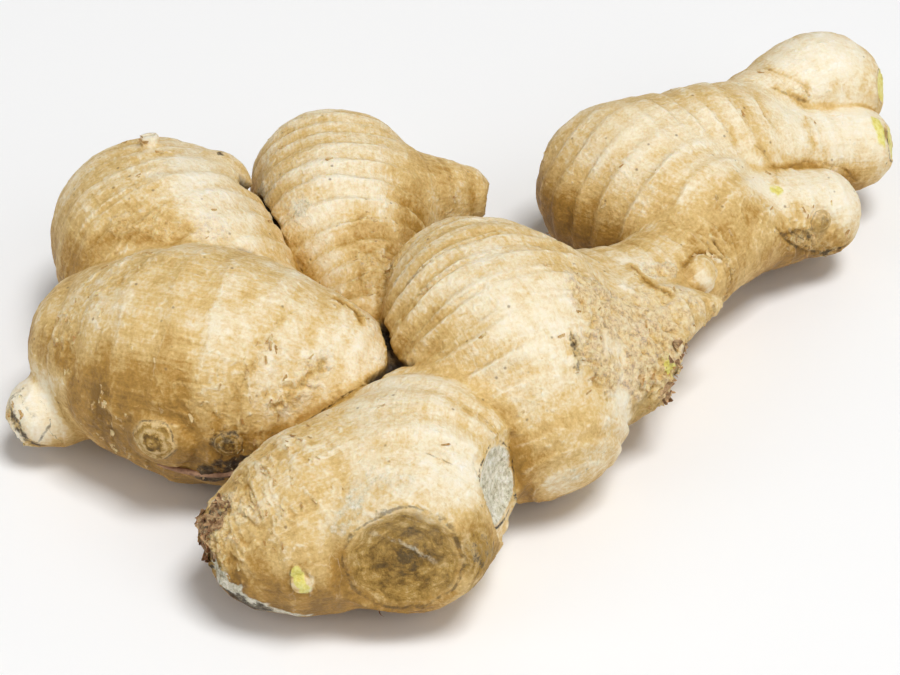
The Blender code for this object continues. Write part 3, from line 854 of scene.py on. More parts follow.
    def _cut_off(self, known: Growth, scars: Scars) -> tuple[Floats, Floats, dict[Mark, Floats]]:
        """Presses each knob's points beyond a cut back on to its dished face.

        Args:
            known: what the points know of their knobs.
            scars: the record of round marks, which the cuts join.

        Returns:
            The pressed points, how much each is on a cut, and the marks that the cuts leave.
        """
        names = [sweep.knob.name for sweep in self.skeleton.sweeps]
        points = known.points
        on_cut = np.zeros(len(points))
        marks = {mark: np.zeros(len(points)) for mark in Mark}
        for cut in CUTS:
            facing = unit(np.array(cut.facing))
            offset = points - np.array(cut.centre)
            level = offset @ facing
            reach = np.linalg.norm(offset - level[:, None] * facing, axis=1) / cut.radius
            near = (reach < self.cut_reach) & (level > -cut.radius)
            dish = -cut.dish * np.clip(1 - reach**2, 0, 1)
            edge = cut.rim * np.exp(-(((reach - self.rim_at) / self.rim_width) ** 2))
            ragged = np.zeros(len(points))
            if cut.raggedness:
                ragged[near] = cut.raggedness * lumps(points[near], self.ragged_width)
            corky = np.zeros(len(points))
            corky[near] = sum(height * lumps(points[near], width) for height, width in self.corky_lumps)
            face = dish + edge + ragged - cut.radius * self.cut_depth
            own = np.clip(2 * known.shares[names.index(cut.knob)], 0, 1)
            beyond = near & (level > face)
            soft = reach.copy()
            soft[near] += self.uneven * lumps(points[near], self.uneven_width)
            inner = smooth_step(1.0 - soft, *self.inner_range) * near
            pressed = own * np.where(beyond, level - face - corky * inner, 0.0)
            points = points - pressed[:, None] * facing
            fade = np.clip((self.cut_reach - reach) / self.cut_fade, 0, 1)
            on_cut = np.maximum(on_cut, own * beyond * fade)
            marks[cut.mark] = np.maximum(marks[cut.mark], own * beyond * inner)
            if cut.outline:
                centre = np.array(cut.centre)
                scars.add(known.points, centre, facing, cut.radius, soft, cut.outline, 0.0)
        return points, on_cut, marks

    def _buds(self, known: Growth, scars: Scars) -> tuple[Floats, Floats, dict[Mark, Floats]]:
        """Raises the buds.

        Args:
            known: what the points know of their knobs.
            scars: the record of round marks, which the ringed buds join.

        Returns:
            Their height, how much each point belongs to one, and the marks that they leave.
        """
        height = np.zeros(len(known.points))
        share = np.zeros(len(known.points))
        marks = {mark: np.zeros(len(known.points)) for mark in Mark}
        for bud in BUDS:
            centre, facing, _ = self.skeleton.settle(np.array([bud.centre], float), 4)
            reach = np.linalg.norm(known.points - centre, axis=1) / bud.radius
            near = np.where(reach < 2.2)[0]
            reach[near] += self.bud_uneven * lumps(known.points[near], bud.radius * 0.55)
            dome = np.clip(1 - reach**2, 0, 1) ** self.dome_power
            moat = self.moat_depth * np.exp(-(((reach - self.moat_at) / self.moat_width) ** 2))
            scales = self.bud_ring_height * np.cos(reach * BUD_RINGS) * smooth_step(1.3 - reach, 0.0, 0.3)
            height += bud.height * (dome - moat + scales * bud.ringed)
            share = np.maximum(share, np.clip(self.bud_reach - reach, 0, 1))
            mark = bud.strength * smooth_step(1.2 - reach, 0.0, 0.4)
            marks[bud.mark] = np.maximum(marks[bud.mark], mark)
            if bud.ringed:
                outline = 0.8 * bud.strength
                scars.add(known.points, centre[0], facing[0], bud.radius, reach, outline, bud.strength)
        return height, share, marks

    def _cracks(
        self, points: Floats, normals: Floats, marks: dict[Mark, Floats]
    ) -> tuple[Floats, Floats, Floats]:
        """Opens the cracks, and stains and frays the skin beside them.

        Args:
            points: the skin.
            normals: its outward normals.
            marks: the marks so far, changed in place.

        Returns:
            The cracks' height, the distance across the nearest one in widths with its side as the
            sign, and how dark it is, below 0 where it is a pale fibre.
        """
        height = np.zeros(len(points))
        across = np.full(len(points), FAR)
        dark = np.zeros(len(points))
        for crack in CRACKS:
            stations = np.array([(*point, 0.0) for point in crack.line], float)
            line = smooth_line(stations, 6)[:, :3]
            low, high = line.min(0) - self.crack_reach, line.max(0) + self.crack_reach
            near = np.where(((points > low) & (points < high)).all(1))[0]
            gap, side, past = measure_to_line(points[near], normals[near], line)
            close = gap < self.crack_reach
            near, side, past = near[close], side[close], past[close]
            side = side + self.crack_wander * lumps(points[near], self.crack_wander_width)
            fade = 1 - smooth_step(past, 0.0, 3 * crack.width + 0.6)
            lips = self.crack_lips * np.exp(-((np.abs(side) / crack.width - self.crack_lips_at) ** 2))
            height[near] -= crack.depth * fade * (np.exp(-((side / crack.width) ** 2)) - lips)
            nearer = np.abs(side) / crack.width < np.abs(across[near])
            across[near[nearer]] = side[nearer] / crack.width
            dark[near[nearer]] = np.copysign(crack.dark, crack.depth) * fade[nearer]
            stain = (Mark.TAWNY_AND_SHADE, crack.brown, self.stain_spread)
            for mark, strength, spread in (stain, (Mark.FLAKY, crack.torn, self.torn_spread)):
                beside = strength * fade * np.exp(-((side / spread) ** 2))
                marks[mark][near] = np.maximum(marks[mark][near], beside)
        return height, np.clip(across, -self.most_across, self.most_across), dark

    def _patches(self, points: Floats, marks: dict[Mark, Floats]) -> None:
        """Adds the patches to the marks.

        Args:
            points: the skin.
            marks: what the cuts and buds have left so far, changed in place.
        """
        for mark, patch in ((mark, patch) for mark, patches in PATCHES.items() for patch in patches):
            start, end = np.array(patch.start, float), np.array(patch.end, float)
            line = end - start
            reach = np.linalg.norm(line) / 2 + 2 * patch.radius
            near = np.where(np.linalg.norm(points - (start + end) / 2, axis=1) < reach)[0]
            part = np.clip((points[near] - start) @ line / max(line @ line, 1e-9), 0, 1)
            away = np.linalg.norm(points[near] - start - part[:, None] * line, axis=1) / patch.radius
            away += self.patch_raggedness * lumps(points[near], patch.radius * 0.7)
            if mark in self.soft_marks:
                start_at, fade = self.soft_edge
            else:
                finer = lumps(points[near] + self.knob_apart, patch.radius * 0.25)
                away += 0.5 * self.patch_raggedness * finer
                start_at, fade = self.firm_edge
            strength = patch.strength * smooth_step(start_at - away, 0.0, fade)
            marks[mark][near] = np.maximum(marks[mark][near], strength)

    def _crust(self, points: Floats, crust: Floats) -> Floats:
        """Height of the eroded skin: sunk below the sound skin, with crumbs left standing."""
        height = np.zeros(len(points))
        some = np.where(crust > 0.02)[0]
        ridges = 1 - 2 * np.abs(lumps(points[some], self.crust_width))
        crumbs = 1 - 2 * np.abs(lumps(points[some] + self.knob_apart, self.crust_width * 0.45))
        height[some] = crust[some] * (self.crust_height * (0.5 * ridges + 0.5 * crumbs) - self.crust_depth)
        return height

    def _tears(self, known: Growth) -> Floats:
        """Ragged lines of torn skin, mostly along the rings.

        Args:
            known: what the points know of their knobs.

        Returns:
            1 on a raised edge, down to -0.6 in the gap beside it, 0 elsewhere.
        """
        lines = np.zeros(len(known.points))
        round_the_rings = known.grain * np.array([1.0, 0.5, 0.5])
        for width, share in ((self.tear_width, 1.0), (self.tear_width * 0.5, 0.6)):
            crossing = lumps(round_the_rings, width)
            gap_at, gap_width = self.tear_gap
            edge = np.exp(-((crossing / self.tear_edge) ** 2))
            lines += share * (edge - 0.5 * np.exp(-(((crossing - gap_at) / gap_width) ** 2)))
        return np.clip(lines, -0.6, 1.0) * known.own

    def _lips(self, known: Growth) -> tuple[Floats, Floats]:
        """The free edges that scale leaves left on the rings.

        Args:
            known: what the points know of their knobs.

        Returns:
            Their height, and how plainly a ring's edge shows at each point.
        """
        present = lumps(known.grain * np.array([0.35, 1.0, 1.0]), self.lip_run)
        present = smooth_step(present, *self.lip_shown) * known.own * known.edge
        part = known.ring + self.lip_wander * lumps(known.points, 2.4)
        part = (part - np.floor(part) - RING_EDGE) * known.pitch
        bead = np.exp(-((part / self.lip_width) ** 2))
        groove = self.lip_groove * np.exp(-(((part - 2 * self.lip_width) / self.lip_width) ** 2))
        return self.lip_height * present * (bead - groove), present

    def _scraps(self, known: Growth, marks: dict[Mark, Floats], tears: Floats, present: Floats) -> Floats:
        """How thick scraps of scale leaf lie: along torn skin and along plain ring edges.

        Args:
            known: what the points know of their knobs.
            marks: the marks' strengths.
            tears: the lines of torn skin.
            present: how plainly a ring's edge shows.

        Returns:
            From 0 to 1 at each point.
        """
        away = (known.ring - np.floor(known.ring) - RING_EDGE) * known.pitch
        along_edges = self.edge_scraps * present * np.exp(-((away / self.edge_scraps_width) ** 2))
        torn = np.clip(tears, 0, 1) ** 2 * (marks[Mark.FLAKY] + self.crust_scraps * marks[Mark.CRUST])
        return np.clip(torn + along_edges, 0, 1)

    def build(self) -> bpy.types.Object:
        """Grows the skin and records what its material reads.

        Returns:
            The skin, one closed mesh with its attributes, in metres.
        """
        skin = self._even_skin()
        points = read_points(skin.data) / MM
        points, normals, crease = self.skeleton.settle(points, 3)
        log.info("skin settled: %d points", len(points))
        known = self._growth(points, normals)
        scars = Scars(len(points))
        pressed, on_cut, marks = self._cut_off(known, scars)
        bud_height, on_bud, bud_marks = self._buds(known, scars)
        for mark, values in bud_marks.items():
            marks[mark] = np.maximum(marks[mark], values)
        self._patches(points, marks)
        crack_height, across_crack, crack_dark = self._cracks(pressed, normals, marks)
        plain = 1 - np.maximum(on_bud, on_cut)
        sound = 1 - self.crust_loss * marks[Mark.CRUST]
        ringed = plain * (1 - self.smooth_loss * marks[Mark.SMOOTH]) * sound
        lips, present = self._lips(known)
        wrinkles = self.wrinkle_height * lumps(known.grain, np.array(self.wrinkle_size)) * known.own
        pebbles = self.pebble_height * lumps(points, self.pebble_width)
        relief = ringed * lips + plain * wrinkles + pebbles + self._crust(points, marks[Mark.CRUST])
        tears = self._tears(known) * plain
        relief += self.tear_height * marks[Mark.FLAKY] * tears + crack_height
        # The gaps between knobs are sunk here, and the material paints them near-black as shade.
        gaps = marks[Mark.GAP] * smooth_step(1 - known.own, 0.3, 0.9)
        relief -= self.gap_depth * gaps
        sunk = self.gap_depth * gaps + self.crust_depth * marks[Mark.CRUST]
        swells = self.lump_height * lumps(points, self.lump_width)
        swells += self.dent_height * lumps(points, self.dent_width)
        points = pressed + normals * (bud_height + plain * swells + ringed * known.lift + relief)[:, None]
        points[:, 2] = np.maximum(points[:, 2], 0.0)
        write_points(skin.data, points * MM)
        # Painted shade: skin turned towards shade_side is painted tawny, less so on pale stretches.
        shade = smooth_step(normals @ unit(np.array(self.shade_side)), *self.shaded)
        shade *= 1 - self.pale_unshaded * marks[Mark.PALE_AND_HIGHLIGHT]
        marks[Mark.TAWNY_AND_SHADE] = np.clip(self.tawny_and_shade_gain * marks[Mark.TAWNY_AND_SHADE] + shade, 0, self.most_tawny_and_shade)
        marks[Mark.GAP] = gaps
        readings = {
            "ring": known.ring,
            "pitch": known.pitch,
            "lip": present * ringed,
            "ring_light_and_shade": known.ring_light_and_shade * ringed,
            "own": known.own,
            # Painted highlight and shade: the material paints raised relief paler and its dips darker.
            "relief": relief + sunk,
            "disc": scars.disc,
            "outline": scars.outline,
            "rings": scars.rings,
            "across_crack": across_crack,
            "crack": crack_dark,
            # Painted shade, partly dirt: the deeper in a crease, the darker the material paints the skin.
            "crease": smooth_step(crease, 0.12, 0.7),
            "scraps": self._scraps(known, marks, tears, present * ringed)
            * (points[:, 2] > self.least_scrap_height),
            "rooty": smooth_step(-normals[:, 2], 0.0, 0.6) * (points[:, 2] > self.least_stub_height),
            **{mark.value: values for mark, values in marks.items()},
        }
        for name, values in readings.items():
            write_floats(skin.data, name, values)
        write_vectors(skin.data, "grain", known.grain * MM)
        write_vectors(skin.data, "growth", known.growth)
        write_vectors(skin.data, "round_grain", scars.grain)
        self._thin_out(skin)
        skin.data.shade_smooth()
        return skin

    def _thin_out(self, skin: bpy.types.Object) -> None:
        """Fewer faces, kept where the relief needs them."""
        skin.data.calc_loop_triangles()
        count = len(skin.data.loop_triangles)
        if count > self.most_triangles:
            fewer = skin.modifiers.new("thin_out", "DECIMATE")
            fewer.ratio = self.most_triangles / count
            fewer.use_collapse_triangulate = True
            apply_modifiers(skin)


@dataclass(frozen=True)
class Coat:
    """How one mark is laid over the skin, and the colours of its pattern."""

    mark: Mark
    fine: bool  # read from the fine crumbs, otherwise from the coarser grit
    most: float  # how much of the skin it hides where it is strongest
    fray: float
    edge: tuple[float, float]  # the strengths from which and to which it fades in
    stops: Stops


@dataclass(frozen=True)
class DriedGingerSkin:
    """The thin cork skin of fresh ginger, air dried after it was lifted and washed.

    It gives the eye a matt cream to buff ground with fibres that follow the growth, pale ring
    edges with painted shade in the groove behind them, golden brown that is the skin's own in places and
    painted shade on the sides turned from the light, painted shade in the creases and gaps, painted
    highlights on crests and raised relief, and crusts and scars.
    """

    ground: Stops = (
        (0.0, "#8C6726"),
        (1.0, "#FDF8EA"),
        (0.2, "#B4883A"),
        (0.44, "#DEBD7C"),
        (0.68, "#F3E5C5"),
    )
    ring_edge: str = "#FAF0D4"
    # painted shade in the groove behind each ring's raised edge
    ring_groove_shade: str = "#A0773A"
    speck_colour: str = "#6B4A26"
    crack_and_gap_shade_colour: str = "#362714"
    coats: tuple[Coat, ...] = (
        Coat(
            Mark.CRUST, True, 0.7, 0.9, (0.1, 0.9),
            ((0.34, "#7E5724"), (0.68, "#F8E6BE"), (0.44, "#CFA257"), (0.54, "#ECCF8E")),
        ),
        Coat(
            Mark.CORK, False, 0.9, 0.6, (0.05, 0.8),
            ((0.3, "#4A350E"), (0.72, "#E6CA93"), (0.42, "#84621F"), (0.56, "#B99347")),
        ),
        Coat(
            Mark.CHALK, True, 0.92, 1.1, (0.25, 0.6),
            ((0.28, "#5F5A45"), (0.62, "#FBF8EA"), (0.37, "#B2AC8F"), (0.47, "#DAD5BD")),
        ),
        Coat(
            Mark.FRESH, True, 0.95, 0.9, (0.3, 0.7),
            ((0.25, "#C2A346"), (0.6, "#EEE692"), (0.42, "#E0D25C")),
        ),
        Coat(
            Mark.SOIL, True, 0.92, 1.5, (0.3, 0.62),
            ((0.4, "#2A2118"), (0.68, "#948A6C"), (0.54, "#584429")),
        ),
    )
    fibre_width: float = 0.42
    fibre_stretch: float = 12.0
    band_width: float = 2.8
    band_stretch: float = 3.6
    mottle_width: float = 2.6
    net_width: float = 1.5
    grain_width: float = 0.6
    cloud_width: float = 15.0
    speck_width: float = 4.2
    crumb_width: float = 1.15
    grit_width: float = 2.1
    line_width: float = 0.3
    arc_scale: Point = (1.3, 1.6, 1.6)
    arc_gain: float = 0.5
    ring_gain: float = 0.14
    ring_lift: float = 0.7  # added to the rings' wave, so that they are pale more than dark
    ring_bend: float = 9.0  # how far the grit bends the rings, in radians
    grit_tone: tuple[float, float] = (0.8, -0.15)
    middle_tone: tuple[float, float] = (-0.15, 0.08)  # from a scar's middle to its rim
    fray_width: float = 1.4
    fray_reach: float = 0.24
    break_width: float = 5.0
    crack_fray_width: float = 1.1
    crack_break_width: float = 2.6
    thin_lines: tuple[tuple[str, str, float, float, float], ...] = (
        # the attribute a line lies in, the one that gives its strength, its place, width and sway there
        ("across_crack", "crack", 0.0, 1.0, 3.0),
        ("disc", "outline", 1.0, 0.045, 0.12),
    )
    pore_width: float = 0.8
    rough_crumb_width: float = 1.3
    tone: tuple[float, float] = (0.44, 0.365)  # gain and shift of the mottling, the first part of the tone
    roughness: float = 0.56
    ior: float = 1.45
    flesh_radius: Point = (1.0, 0.55, 0.22)
    flesh_depth: float = 1.6
    flesh_weight: float = 0.12

    def material(self) -> bpy.types.Material:
        """Builds the skin's material."""
        material = bpy.data.materials.new("dried_ginger_skin")
        material.use_nodes = True
        tree = material.node_tree
        shader = tree.nodes["Principled BSDF"]
        place = add_node(tree, "ShaderNodeTexCoord", out="Object")
        fibres = self._fibres(tree)
        net = add_node(
            tree,
            NOISE,
            {"Vector": place, "Scale": per_width(self.net_width), "Detail": 3.0, "Distortion": 0.7},
            noise_type="RIDGED_MULTIFRACTAL",
        )
        light_line, groove_shade_line = self._ring_lines(tree, place)
        colour = self._ground(tree, place, fibres, net)
        # The groove line is painted shade; the pale ring edges and the specks are the skin's own colour.
        for strength, gain, line_colour in (
            (groove_shade_line, 0.4, self.ring_groove_shade),
            (light_line, 0.7, self.ring_edge),
            (self._specks(tree, place), 0.6, self.speck_colour),
        ):
            share = add_node(tree, MATH, {0: strength, 1: gain}, operation="MULTIPLY")
            values = {0: share, 6: colour, 7: linear(line_colour)}
            colour = add_node(tree, MIX, values, out=2, data_type="RGBA")
        colour = self._marked(tree, colour, place)
        for share, line_colour in zip(self._lines(tree, place), (self.crack_and_gap_shade_colour, self.ring_edge)):
            values = {0: share, 6: colour, 7: linear(line_colour)}
            colour = add_node(tree, MIX, values, out=2, data_type="RGBA", clamp_factor=True)
        tree.links.new(colour, shader.inputs["Base Color"])
        tree.links.new(self._roughness(tree, fibres), shader.inputs["Roughness"])
        tree.links.new(self._bump(tree, place, fibres, net, light_line), shader.inputs["Normal"])
        shader.inputs["IOR"].default_value = self.ior
        shader.inputs["Subsurface Weight"].default_value = self.flesh_weight
        shader.inputs["Subsurface Radius"].default_value = self.flesh_radius
        shader.inputs["Subsurface Scale"].default_value = self.flesh_depth * MM
        return material

    @staticmethod
    def _read(tree: Tree, name: str) -> Socket:
        """The skin's attribute of that name, as a number."""
        return add_node(tree, READ, out="Fac", attribute_name=name)

    def _drawn_out(self, tree: Tree, scale: Point, **settings: object) -> Socket:
        """A noise drawn out along or round the knobs, even where two knobs meet.

        Args:
            tree: the material's tree.
            scale: how much it is shortened along the growth and across it.
            settings: the noise's inputs.

        Returns:
            The pattern, 0 to 1.
        """
        grain = add_node(tree, READ, out="Vector", attribute_name="grain")
        drawn = add_node(tree, "ShaderNodeMapping", {"Vector": grain, "Scale": scale})
        pattern = add_node(tree, NOISE, {"Vector": drawn, **settings})
        own = self._read(tree, "own")
        return add_node(tree, MIX, {0: own, 2: 0.5, 3: pattern}, data_type="FLOAT")

    def _fibres(self, tree: Tree) -> Socket:
        """Fine fibres that follow the growth."""
        scale = (1 / self.fibre_stretch, 1, 1)
        width = per_width(self.fibre_width * 2)
        return self._drawn_out(tree, scale, Scale=width, Detail=3.0, Roughness=0.6, Distortion=0.5)

    def _ring_lines(self, tree: Tree, place: Socket) -> tuple[Socket, Socket]:
        """The pale edge of each ring and the painted shade in the groove behind it.

        Args:
            tree: the material's tree.
            place: object coordinates.

        Returns:
            How strongly each of the two shows, 0 to 1.
        """
        values = {"Vector": place, "Scale": per_width(self.fray_width), "Detail": 3.0, "Roughness": 0.7}
        fray = add_node(tree, NOISE, values)
        values = {0: fray, 1: self.fray_reach, 2: -0.5 * self.fray_reach}
        sway = add_node(tree, MATH, values, operation="MULTIPLY_ADD")
        ring = add_node(tree, MATH, {0: self._read(tree, "ring"), 1: sway}, operation="ADD")
        part = add_node(tree, MATH, {0: ring}, operation="FRACT")
        values = {"Vector": place, "Scale": per_width(self.break_width), "Detail": 4.0, "Roughness": 0.65}
        breaks = add_node(tree, NOISE, values)
        values = {"Value": breaks, "From Min": 0.4, "From Max": 0.6}
        shown = add_node(tree, RANGE, values, interpolation_type="SMOOTHSTEP")
        lip = self._read(tree, "lip")
        shown = add_node(tree, MATH, {0: shown, 1: lip}, operation="MULTIPLY")
        pitch = self._read(tree, "pitch")
        away = add_node(tree, MATH, {0: part, 1: RING_EDGE}, operation="SUBTRACT")
        away = add_node(tree, MATH, {0: away, 1: pitch}, operation="MULTIPLY")
        lines = []
        for offset, width in ((0.0, self.line_width), (2.0 * self.line_width, 1.6 * self.line_width)):
            off = add_node(tree, MATH, {0: away, 1: offset}, operation="SUBTRACT")
            off = add_node(tree, MATH, {0: off}, operation="ABSOLUTE")
            values = {"Value": off, "From Min": width, "From Max": 0.1 * width}
            line = add_node(tree, RANGE, values, interpolation_type="SMOOTHSTEP")
            lines.append(add_node(tree, MATH, {0: line, 1: shown}, operation="MULTIPLY"))
        return lines[0], lines[1]

    def _specks(self, tree: Tree, place: Socket) -> Socket:
        """Small brown specks, a few millimetres apart."""
        values = {"Vector": place, "Scale": per_width(self.speck_width), "Randomness": 1.0}
        cells = add_node(tree, "ShaderNodeTexVoronoi", values)
        values = {"Value": cells, "From Min": 0.1, "From Max": 0.03}
        return add_node(tree, RANGE, values, interpolation_type="SMOOTHSTEP")

    def _ground(self, tree: Tree, place: Socket, fibres: Socket, net: Socket) -> Socket:
        """The plain skin's colour, from tawny through buff to cream, with painted shade in the creases, on
        the sides turned from the light and in the rings' hollows, and painted highlights on the rings'
        crests, on raised relief and on the pale stretches.

        Args:
            tree: the material's tree.
            place: object coordinates.
            fibres: the fibre pattern.
            net: the net of fine wrinkles.

        Returns:
            The colour.
        """
        values = {"Scale": per_width(self.mottle_width), "Detail": 6.0, "Roughness": 0.74, "Distortion": 0.5}
        mottle = add_node(tree, NOISE, {"Vector": place, **values})
        values = {"Vector": place, "Scale": per_width(self.cloud_width), "Detail": 3.0}
        cloud = add_node(tree, NOISE, values)
        scale = (1, 1 / self.band_stretch, 1 / self.band_stretch)
        bands = self._drawn_out(tree, scale, Scale=per_width(self.band_width), Detail=3.0)
        values = {"Scale": per_width(self.grain_width), "Detail": 2.0, "Roughness": 0.6}
        grains = add_node(tree, NOISE, {"Vector": place, **values})
        gain, shift = self.tone
        tone = add_node(tree, MATH, {0: mottle, 1: gain, 2: shift}, operation="MULTIPLY_ADD")
        parts = (  # each pattern, how much it tells, and what takes its middle to nothing
            (cloud, 0.3, -0.15),
            (bands, 0.42, -0.21),
            (fibres, 0.32, -0.16),
            (net, 0.26, -0.1),
            (grains, 0.3, -0.15),
            # ring swellings: painted highlight on their crests, painted shade in their hollows
            (self._read(tree, "ring_light_and_shade"), 0.055, 0.0),
            # crease: painted shade, partly dirt, darker deep in the creases between knobs
            (self._read(tree, "crease"), -0.32, 0.0),
            # pale: the young skin's own cream, and painted highlight on the crests
            (self._read(tree, Mark.PALE_AND_HIGHLIGHT.value), 0.32, 0.0),
            # tawny: the skin's own golden brown, and painted shade on the sides turned from the light
            (self._read(tree, Mark.TAWNY_AND_SHADE.value), -0.42, 0.0),
            (self._read(tree, Mark.FLAKY.value), -0.08, 0.0),
            # relief: painted highlight on raised parts and painted shade in dips
            (self._read(tree, "relief"), 0.33, 0.0),
        )
        for source, gain, shift in parts:
            weighed = add_node(tree, MATH, {0: source, 1: gain, 2: shift}, operation="MULTIPLY_ADD")
            tone = add_node(tree, MATH, {0: tone, 1: weighed}, operation="ADD")
        return add_node(tree, RAMP, {"Fac": tone}, stops=self.ground)

    def _marked(self, tree: Tree, colour: Socket, place: Socket) -> Socket:
        """Lays the crusts, scars, chalky and fresh faces and the soil over the skin.

        Args:
            tree: the material's tree.
            colour: the plain skin's colour.
            place: object coordinates.

        Returns:
            The finished colour.
        """
        values = {"Scale": per_width(self.crumb_width), "Detail": 4.0, "Roughness": 0.75}
        crumbs = add_node(tree, NOISE, {"Vector": place, **values})
        values = {"Scale": per_width(self.grit_width), "Detail": 5.0, "Roughness": 0.7}
        grit = add_node(tree, NOISE, {"Vector": place, **values})
        round_grit = self._round(tree, grit)
        for coat in self.coats:
            values = {0: grit, 1: coat.fray, 2: -0.5 * coat.fray}
            fray = add_node(tree, MATH, values, operation="MULTIPLY_ADD")
            edge = add_node(tree, MATH, {0: self._read(tree, coat.mark.value), 1: fray}, operation="ADD")
            values = {"Value": edge, "From Min": coat.edge[0], "From Max": coat.edge[1], "To Max": coat.most}
            edge = add_node(tree, RANGE, values, interpolation_type="SMOOTHSTEP")
            pattern = crumbs if coat.fine else round_grit
            layer = add_node(tree, RAMP, {"Fac": pattern}, stops=coat.stops)
            colour = add_node(tree, MIX, {0: edge, 6: colour, 7: layer}, out=2, data_type="RGBA")
        return colour

    def _round(self, tree: Tree, grit: Socket) -> Socket:
        """The grit, drawn out round the scars, ringed on buds and darker towards the middle.

        Args:
            tree: the material's tree.
            grit: the plain grit.

        Returns:
            The pattern, 0 to 1.
        """
        disc = self._read(tree, "disc")
        grain = add_node(tree, READ, out="Vector", attribute_name="round_grain")
        drawn = add_node(tree, "ShaderNodeMapping", {"Vector": grain, "Scale": self.arc_scale})
        values = {"Vector": drawn, "Scale": 1.0, "Detail": 5.0, "Roughness": 0.66}
        arcs = add_node(tree, NOISE, values)
        phase = add_node(tree, MATH, {0: disc, 1: BUD_RINGS}, operation="MULTIPLY")
        phase = add_node(tree, MATH, {0: grit, 1: self.ring_bend, 2: phase}, operation="MULTIPLY_ADD")
        rings = add_node(tree, MATH, {0: phase}, operation="COSINE")
        rings = add_node(tree, MATH, {0: rings, 1: self.ring_lift}, operation="ADD")
        rings = add_node(tree, MATH, {0: rings, 1: self._read(tree, "rings")}, operation="MULTIPLY")
        gain, shift = self.grit_tone
        pattern = add_node(tree, MATH, {0: grit, 1: gain, 2: shift}, operation="MULTIPLY_ADD")
        for source, gain in ((arcs, self.arc_gain), (rings, self.ring_gain)):
            pattern = add_node(tree, MATH, {0: source, 1: gain, 2: pattern}, operation="MULTIPLY_ADD")
        low, high = self.middle_tone
        values = {"Value": disc, "From Max": 1.0, "To Min": low, "To Max": high}
        middle = add_node(tree, RANGE, values)
        return add_node(tree, MATH, {0: pattern, 1: middle}, operation="ADD")

    def _lines(self, tree: Tree, place: Socket) -> list[Socket]:
        """The cracks, the pale fibres, the outlines of the scars and the painted shade in the gaps between
        knobs.

        Args:
            tree: the material's tree.
            place: object coordinates.

        Returns:
            How strongly dark lines and pale lines show, 0 to 1.
        """
        values = {"Vector": place, "Scale": per_width(self.crack_fray_width), "Detail": 4.0, "Roughness": 0.7}
        fray = add_node(tree, NOISE, values)
        values = {"Scale": per_width(self.crack_break_width), "Detail": 3.0, "Roughness": 0.7}
        breaks = add_node(tree, NOISE, {"Vector": place, **values})
        values = {"Value": breaks, "From Min": 0.4, "From Max": 0.6}
        breaks = add_node(tree, RANGE, values, interpolation_type="SMOOTHSTEP")
        found = []
        for name, strength, centre, width, sway in self.thin_lines:
            values = {0: fray, 1: sway, 2: -0.5 * sway - centre}
            shift = add_node(tree, MATH, values, operation="MULTIPLY_ADD")
            away = add_node(tree, MATH, {0: self._read(tree, name), 1: shift}, operation="ADD")
            away = add_node(tree, MATH, {0: away}, operation="ABSOLUTE")
            values = {"Value": away, "From Min": 1.3 * width, "From Max": 0.3 * width}
            line = add_node(tree, RANGE, values, interpolation_type="SMOOTHSTEP")
            line = add_node(tree, MATH, {0: line, 1: breaks}, operation="MULTIPLY")
            values = {0: line, 1: self._read(tree, strength)}
            found.append(add_node(tree, MATH, values, operation="MULTIPLY"))
        crack, outline = found
        dark = add_node(tree, MATH, {0: crack, 1: outline}, operation="MAXIMUM")
        pale = add_node(tree, MATH, {0: crack, 1: -1.0}, operation="MULTIPLY")
        # Painted shade: the gaps between knobs are drawn in the crack colour.
        gap = self._read(tree, Mark.GAP.value)
        return [
            add_node(tree, MATH, {0: dark, 1: gap}, operation="MAXIMUM"),
            add_node(tree, "ShaderNodeClamp", {0: pale}),
        ]

    def _roughness(self, tree: Tree, fibres: Socket) -> Socket:
        """Satin on smooth pale skin, dull on crusts and soil."""
        values = {0: fibres, 1: 0.2, 2: self.roughness - 0.1}
        rough = add_node(tree, MATH, values, operation="MULTIPLY_ADD")
        gains = {Mark.PALE_AND_HIGHLIGHT: -0.08, Mark.CRUST: 0.2, Mark.CORK: 0.15, Mark.SOIL: 0.25, Mark.FRESH: -0.15}
        for mark, gain in gains.items():
            share = add_node(tree, MATH, {0: self._read(tree, mark.value), 1: gain}, operation="MULTIPLY")
            rough = add_node(tree, MATH, {0: rough, 1: share}, operation="ADD")
        return add_node(tree, "ShaderNodeClamp", {0: rough, 1: 0.3, 2: 0.95})

    def _bump(
        self, tree: Tree, place: Socket, fibres: Socket, net: Socket, light_line: Socket
    ) -> Socket:
        """The finest relief, heights in millimetres.

        Args:
            tree: the material's tree.
            place: object coordinates.
            fibres: the fibre pattern.
            net: the net of fine wrinkles.
            light_line: the pale ring edges, which stand a little proud.

        Returns:
            The bumped normal.
        """
        values = {"Scale": per_width(self.pore_width), "Detail": 4.0, "Roughness": 0.7}
        pores = add_node(tree, NOISE, {"Vector": place, **values})
        values = {"Scale": per_width(self.rough_crumb_width), "Detail": 4.0, "Roughness": 0.7}
        crumbs = add_node(tree, NOISE, {"Vector": place, **values})
        rough = self._read(tree, Mark.CRUST.value)
        for mark in (Mark.CORK, Mark.SOIL, Mark.CHALK):
            rough = add_node(tree, MATH, {0: rough, 1: self._read(tree, mark.value)}, operation="ADD")
        crumbs = add_node(tree, MATH, {0: crumbs, 1: rough}, operation="MULTIPLY")
        height = add_node(tree, MATH, {0: fibres, 1: 0.12}, operation="MULTIPLY")
        for source, gain in ((pores, 0.38), (net, 0.24), (crumbs, 1.2), (light_line, 0.12)):
            weighed = add_node(tree, MATH, {0: source, 1: gain}, operation="MULTIPLY")
            height = add_node(tree, MATH, {0: height, 1: weighed}, operation="ADD")
        return add_node(tree, "ShaderNodeBump", {"Height": height, "Distance": MM, "Strength": 0.9})


